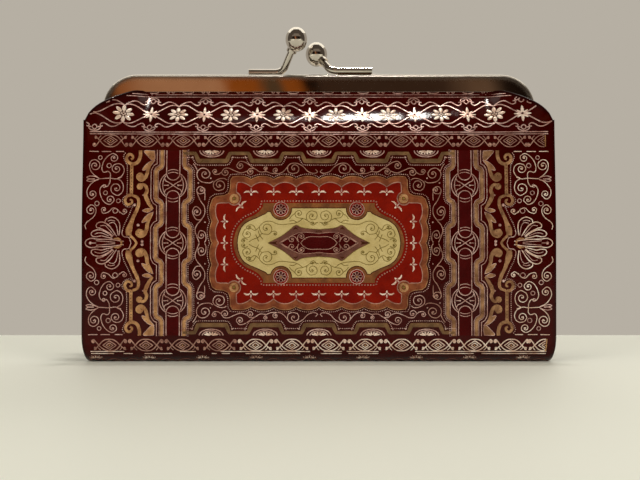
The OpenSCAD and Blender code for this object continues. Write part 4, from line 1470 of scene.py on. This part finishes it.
tooling = {
    "tooled_bands": line_parts(bands, TOOL, "bands") + bead_parts(bands, BEAD, "bands"),
    "tooled_field": line_parts(field, TOOL, "lines"),
    "tooled_beads": bead_parts(field, BEAD, "beads"),
    "colour_fields": field_parts(field, "fields"),
    "tooled_flowers": [flowers(8, 3.9, 0.74, 0.2), flowers(4, 1.0, 0.4, 0.24)],
}
front_pieces, back_pieces = [leather_front, lining_front], [leather_back, lining_back]
for name, parts in tooling.items():
    piece = join_on_front("front_" + name, parts)
    front_pieces.append(piece)
    back_pieces.append(turned(piece, "back_" + name))

# Finishes of the solids that show as they are: the metal, the boards and the packings.
SOLID_FINISHES = {
    FRAME_NICKEL: ("front_frame", "rear_frame"),
    NICKEL: ("front_arm", "rear_arm", "front_ball", "rear_ball", "left_rivet", "right_rivet"),
    BOARD: ("front_board", "back_board"),
    PACKING: ("front_packing", "rear_packing"),
}
for material, names in SOLID_FINISHES.items():
    for name in names:
        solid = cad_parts[name].data
        solid.materials.clear()
        solid.materials.append(material)

# What each piece rides on, and the solids that the pieces replace, hidden.

for piece in front_pieces:
    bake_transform(piece)
for piece in back_pieces + [right_gusset, left_gusset]:
    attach(piece, "pouch")
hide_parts("outer_leather")
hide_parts("outer_leather")
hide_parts("lining")
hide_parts("lining")
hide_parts("right_gusset")
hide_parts("left_gusset")

# Floor, light and camera. Places are in metres.
FLOOR_SIDE, FLOOR_END = 3.0, 0.103
ROOM_SIDE, ROOM_FRONT, ROOM_TOP = 1.6, -1.5, 1.5
SIDE_FLAG_END, TOP_FLAG_END = 0.3, 0.13
REAR_BOARD_START, REAR_BOARD_END = 0.14, 2.6


def level_board(half, front, back, z):
    """Corners of a level board."""
    return [(-half, front, z), (half, front, z), (half, back, z), (-half, back, z)]


def upright_board(start, end):
    """Corners of an upright board over the line from start to end."""
    return [(*start, 0), (*end, 0), (*end, ROOM_TOP), (*start, ROOM_TOP)]


floor_mesh = bpy.data.meshes.new("floor")
floor_mesh.from_pydata(level_board(FLOOR_SIDE, -FLOOR_SIDE, FLOOR_END, 0), [], [(0, 1, 2, 3)])
floor = placed("floor", floor_mesh)
floor_finish = Finish("pale_floor", specular=0.25)
floor_finish.paint(floor_finish.mix(floor_finish.noise(6, 3), colour(236, 238, 226), colour(240, 242, 230)))
floor_finish.shader.inputs["Roughness"].default_value = 0.5
floor_mesh.materials.append(floor_finish.material)


def reflection_board(name, corners, tone, glow_strength=1.0):
    """Glowing board round the set, no lamp, seen only in reflections on the metal and the leather: its
    colours are painted reflections.
    """
    mesh = bpy.data.meshes.new(name)
    mesh.from_pydata(corners, [], [(0, 1, 2, 3)])
    board = placed(name, mesh)
    f = Finish(name, specular=0.0)
    glow = f.node("ShaderNodeEmission")
    f.link(tone(f), glow.inputs["Color"])
    glow.inputs["Strength"].default_value = glow_strength
    f.link(glow.outputs[0], f.tree.nodes["Material Output"].inputs["Surface"])
    mesh.materials.append(f.material)
    board.visible_camera = board.visible_diffuse = board.visible_shadow = False


# Colours of the painted reflections on the front board, which the frame's face and the balls mirror.
SHADE, DUSK, BROWN = colours((28, 18, 12), (62, 43, 31), (106, 80, 60))
COPPER, ROSE, AMBER, GREYED = colours((160, 96, 54), (184, 130, 92), (152, 78, 23), (84, 66, 46))
UPPER_WALL, UPPER_WALL_Z, UPPER_WALL_END = colour(138, 127, 114), 0.6, 0.9
# Slant of the patches, and the height at which they begin as listed.
SLANT, LISTED_Z = 0.35, 0.31
# Where each painted reflection patch on the front board begins, from left to right, in metres; the frame's
# face mirrors them.
PATCHES = [
    (-0.355, 0.02, COPPER), (-0.318, 0.04, ROSE), (-0.163, 0.012, AMBER), (-0.1, 0.02, GREYED),
    (-0.064, 0.016, AMBER), (-0.03, 0.006, SHADE), (-0.004, 0.01, DUSK),
    (0.236, 0.05, BROWN), (0.3, 0.03, SHADE),
]


def painted_reflection_patches(f):
    where = f.node("ShaderNodeSeparateXYZ")
    f.link(f.place, where.inputs[0])
    slant = f.sum(where.outputs["X"], where.outputs["Z"], SLANT)
    tone = SHADE
    for begins, soft, tint in PATCHES:
        begins += SLANT * LISTED_Z
        tone = f.mix(f.span(slant, begins - soft / 2, begins + soft / 2), tone, tint)
    return f.mix(f.span(where.outputs["Z"], UPPER_WALL_Z, UPPER_WALL_END), tone, UPPER_WALL)


# Dim grey glow for the top and side boards: a painted reflection of a dark room in the balls, the frame and
# the leather.
def grey_reflection_glow(f):
    return f.mix(f.noise(3, 2), colour(74, 66, 57), colour(98, 89, 79))


def white_highlight_glow(f):
    return f.mix(f.noise(3, 2), colour(250, 246, 232), colour(255, 252, 240))


front_left, front_right = (-ROOM_SIDE, ROOM_FRONT), (ROOM_SIDE, ROOM_FRONT)
top_flag = level_board(ROOM_SIDE, ROOM_FRONT, TOP_FLAG_END, ROOM_TOP)
rear_board = level_board(ROOM_SIDE, REAR_BOARD_START, REAR_BOARD_END, ROOM_TOP)
reflection_board("front_flag", upright_board(front_left, front_right), painted_reflection_patches)
reflection_board("top_flag", top_flag, grey_reflection_glow)
reflection_board("left_flag", upright_board((-ROOM_SIDE, SIDE_FLAG_END), front_left), grey_reflection_glow)
reflection_board("right_flag", upright_board(front_right, (ROOM_SIDE, SIDE_FLAG_END)), grey_reflection_glow)
# The rear board glows brighter than white: a painted highlight along the frame's top edge and on the balls.
reflection_board("rear_board", rear_board, white_highlight_glow, 1.6)


def soft_light(name, at, towards, size, power, tint, mirrored=False):
    data = bpy.data.lights.new(name, "AREA")
    data.shape = "RECTANGLE"
    data.size, data.size_y = size
    data.energy = power
    data.color = tint
    light = placed(name, data)
    light.location = at
    light.rotation_euler = (Vector(towards) - Vector(at)).to_track_quat("-Z", "Y").to_euler()
    light.visible_glossy = mirrored


POUCH_MIDDLE, FRAME_TOP = (0, 0, 0.05), (0.02, 0, 0.09)
soft_light("strip_light", (0.038, 0.064, 0.80), FRAME_TOP, (0.075, 0.02), 1.0, (1, 0.97, 0.92), True)
for side, name in ((-0.95, "left_fill"), (0.95, "right_fill")):
    soft_light(name, (side, -0.95, 0.55), POUCH_MIDDLE, (0.8, 0.6), 7.5, (1, 0.95, 0.88))
soft_light("back_fill", (0.3, 1.2, 0.8), POUCH_MIDDLE, (0.9, 0.7), 6, (1, 0.96, 0.9))

world = bpy.data.worlds.new("studio")
bpy.context.scene.world = world
world.use_nodes = True
nodes, links = world.node_tree.nodes, world.node_tree.links
wall, fill = nodes["Background"], nodes.new("ShaderNodeBackground")
wall.inputs["Color"].default_value = colour(182, 175, 163)
fill.inputs["Color"].default_value = colour(190, 184, 174)
fill.inputs["Strength"].default_value = 0.65
ray, choose = nodes.new("ShaderNodeLightPath"), nodes.new("ShaderNodeMixShader")
seen = ray.outputs["Is Camera Ray"]
for kind in ("Is Glossy Ray", "Is Transmission Ray"):
    either = nodes.new("ShaderNodeMath")
    either.operation = "MAXIMUM"
    links.new(seen, either.inputs[0])
    links.new(ray.outputs[kind], either.inputs[1])
    seen = either.outputs[0]
links.new(seen, choose.inputs[0])
links.new(fill.outputs[0], choose.inputs[1])
links.new(wall.outputs[0], choose.inputs[2])
links.new(choose.outputs[0], nodes["World Output"].inputs["Surface"])

camera_data = bpy.data.cameras.new("camera")
camera_data.sensor_width = 36
camera_data.lens = 63.85
camera = placed("camera", camera_data)
camera.location = (0.0004, -0.440, 0.0455)
camera.rotation_euler = (math.pi / 2, 0, 0)
bpy.context.scene.camera = camera
bpy.context.scene.view_settings.view_transform = "Standard"
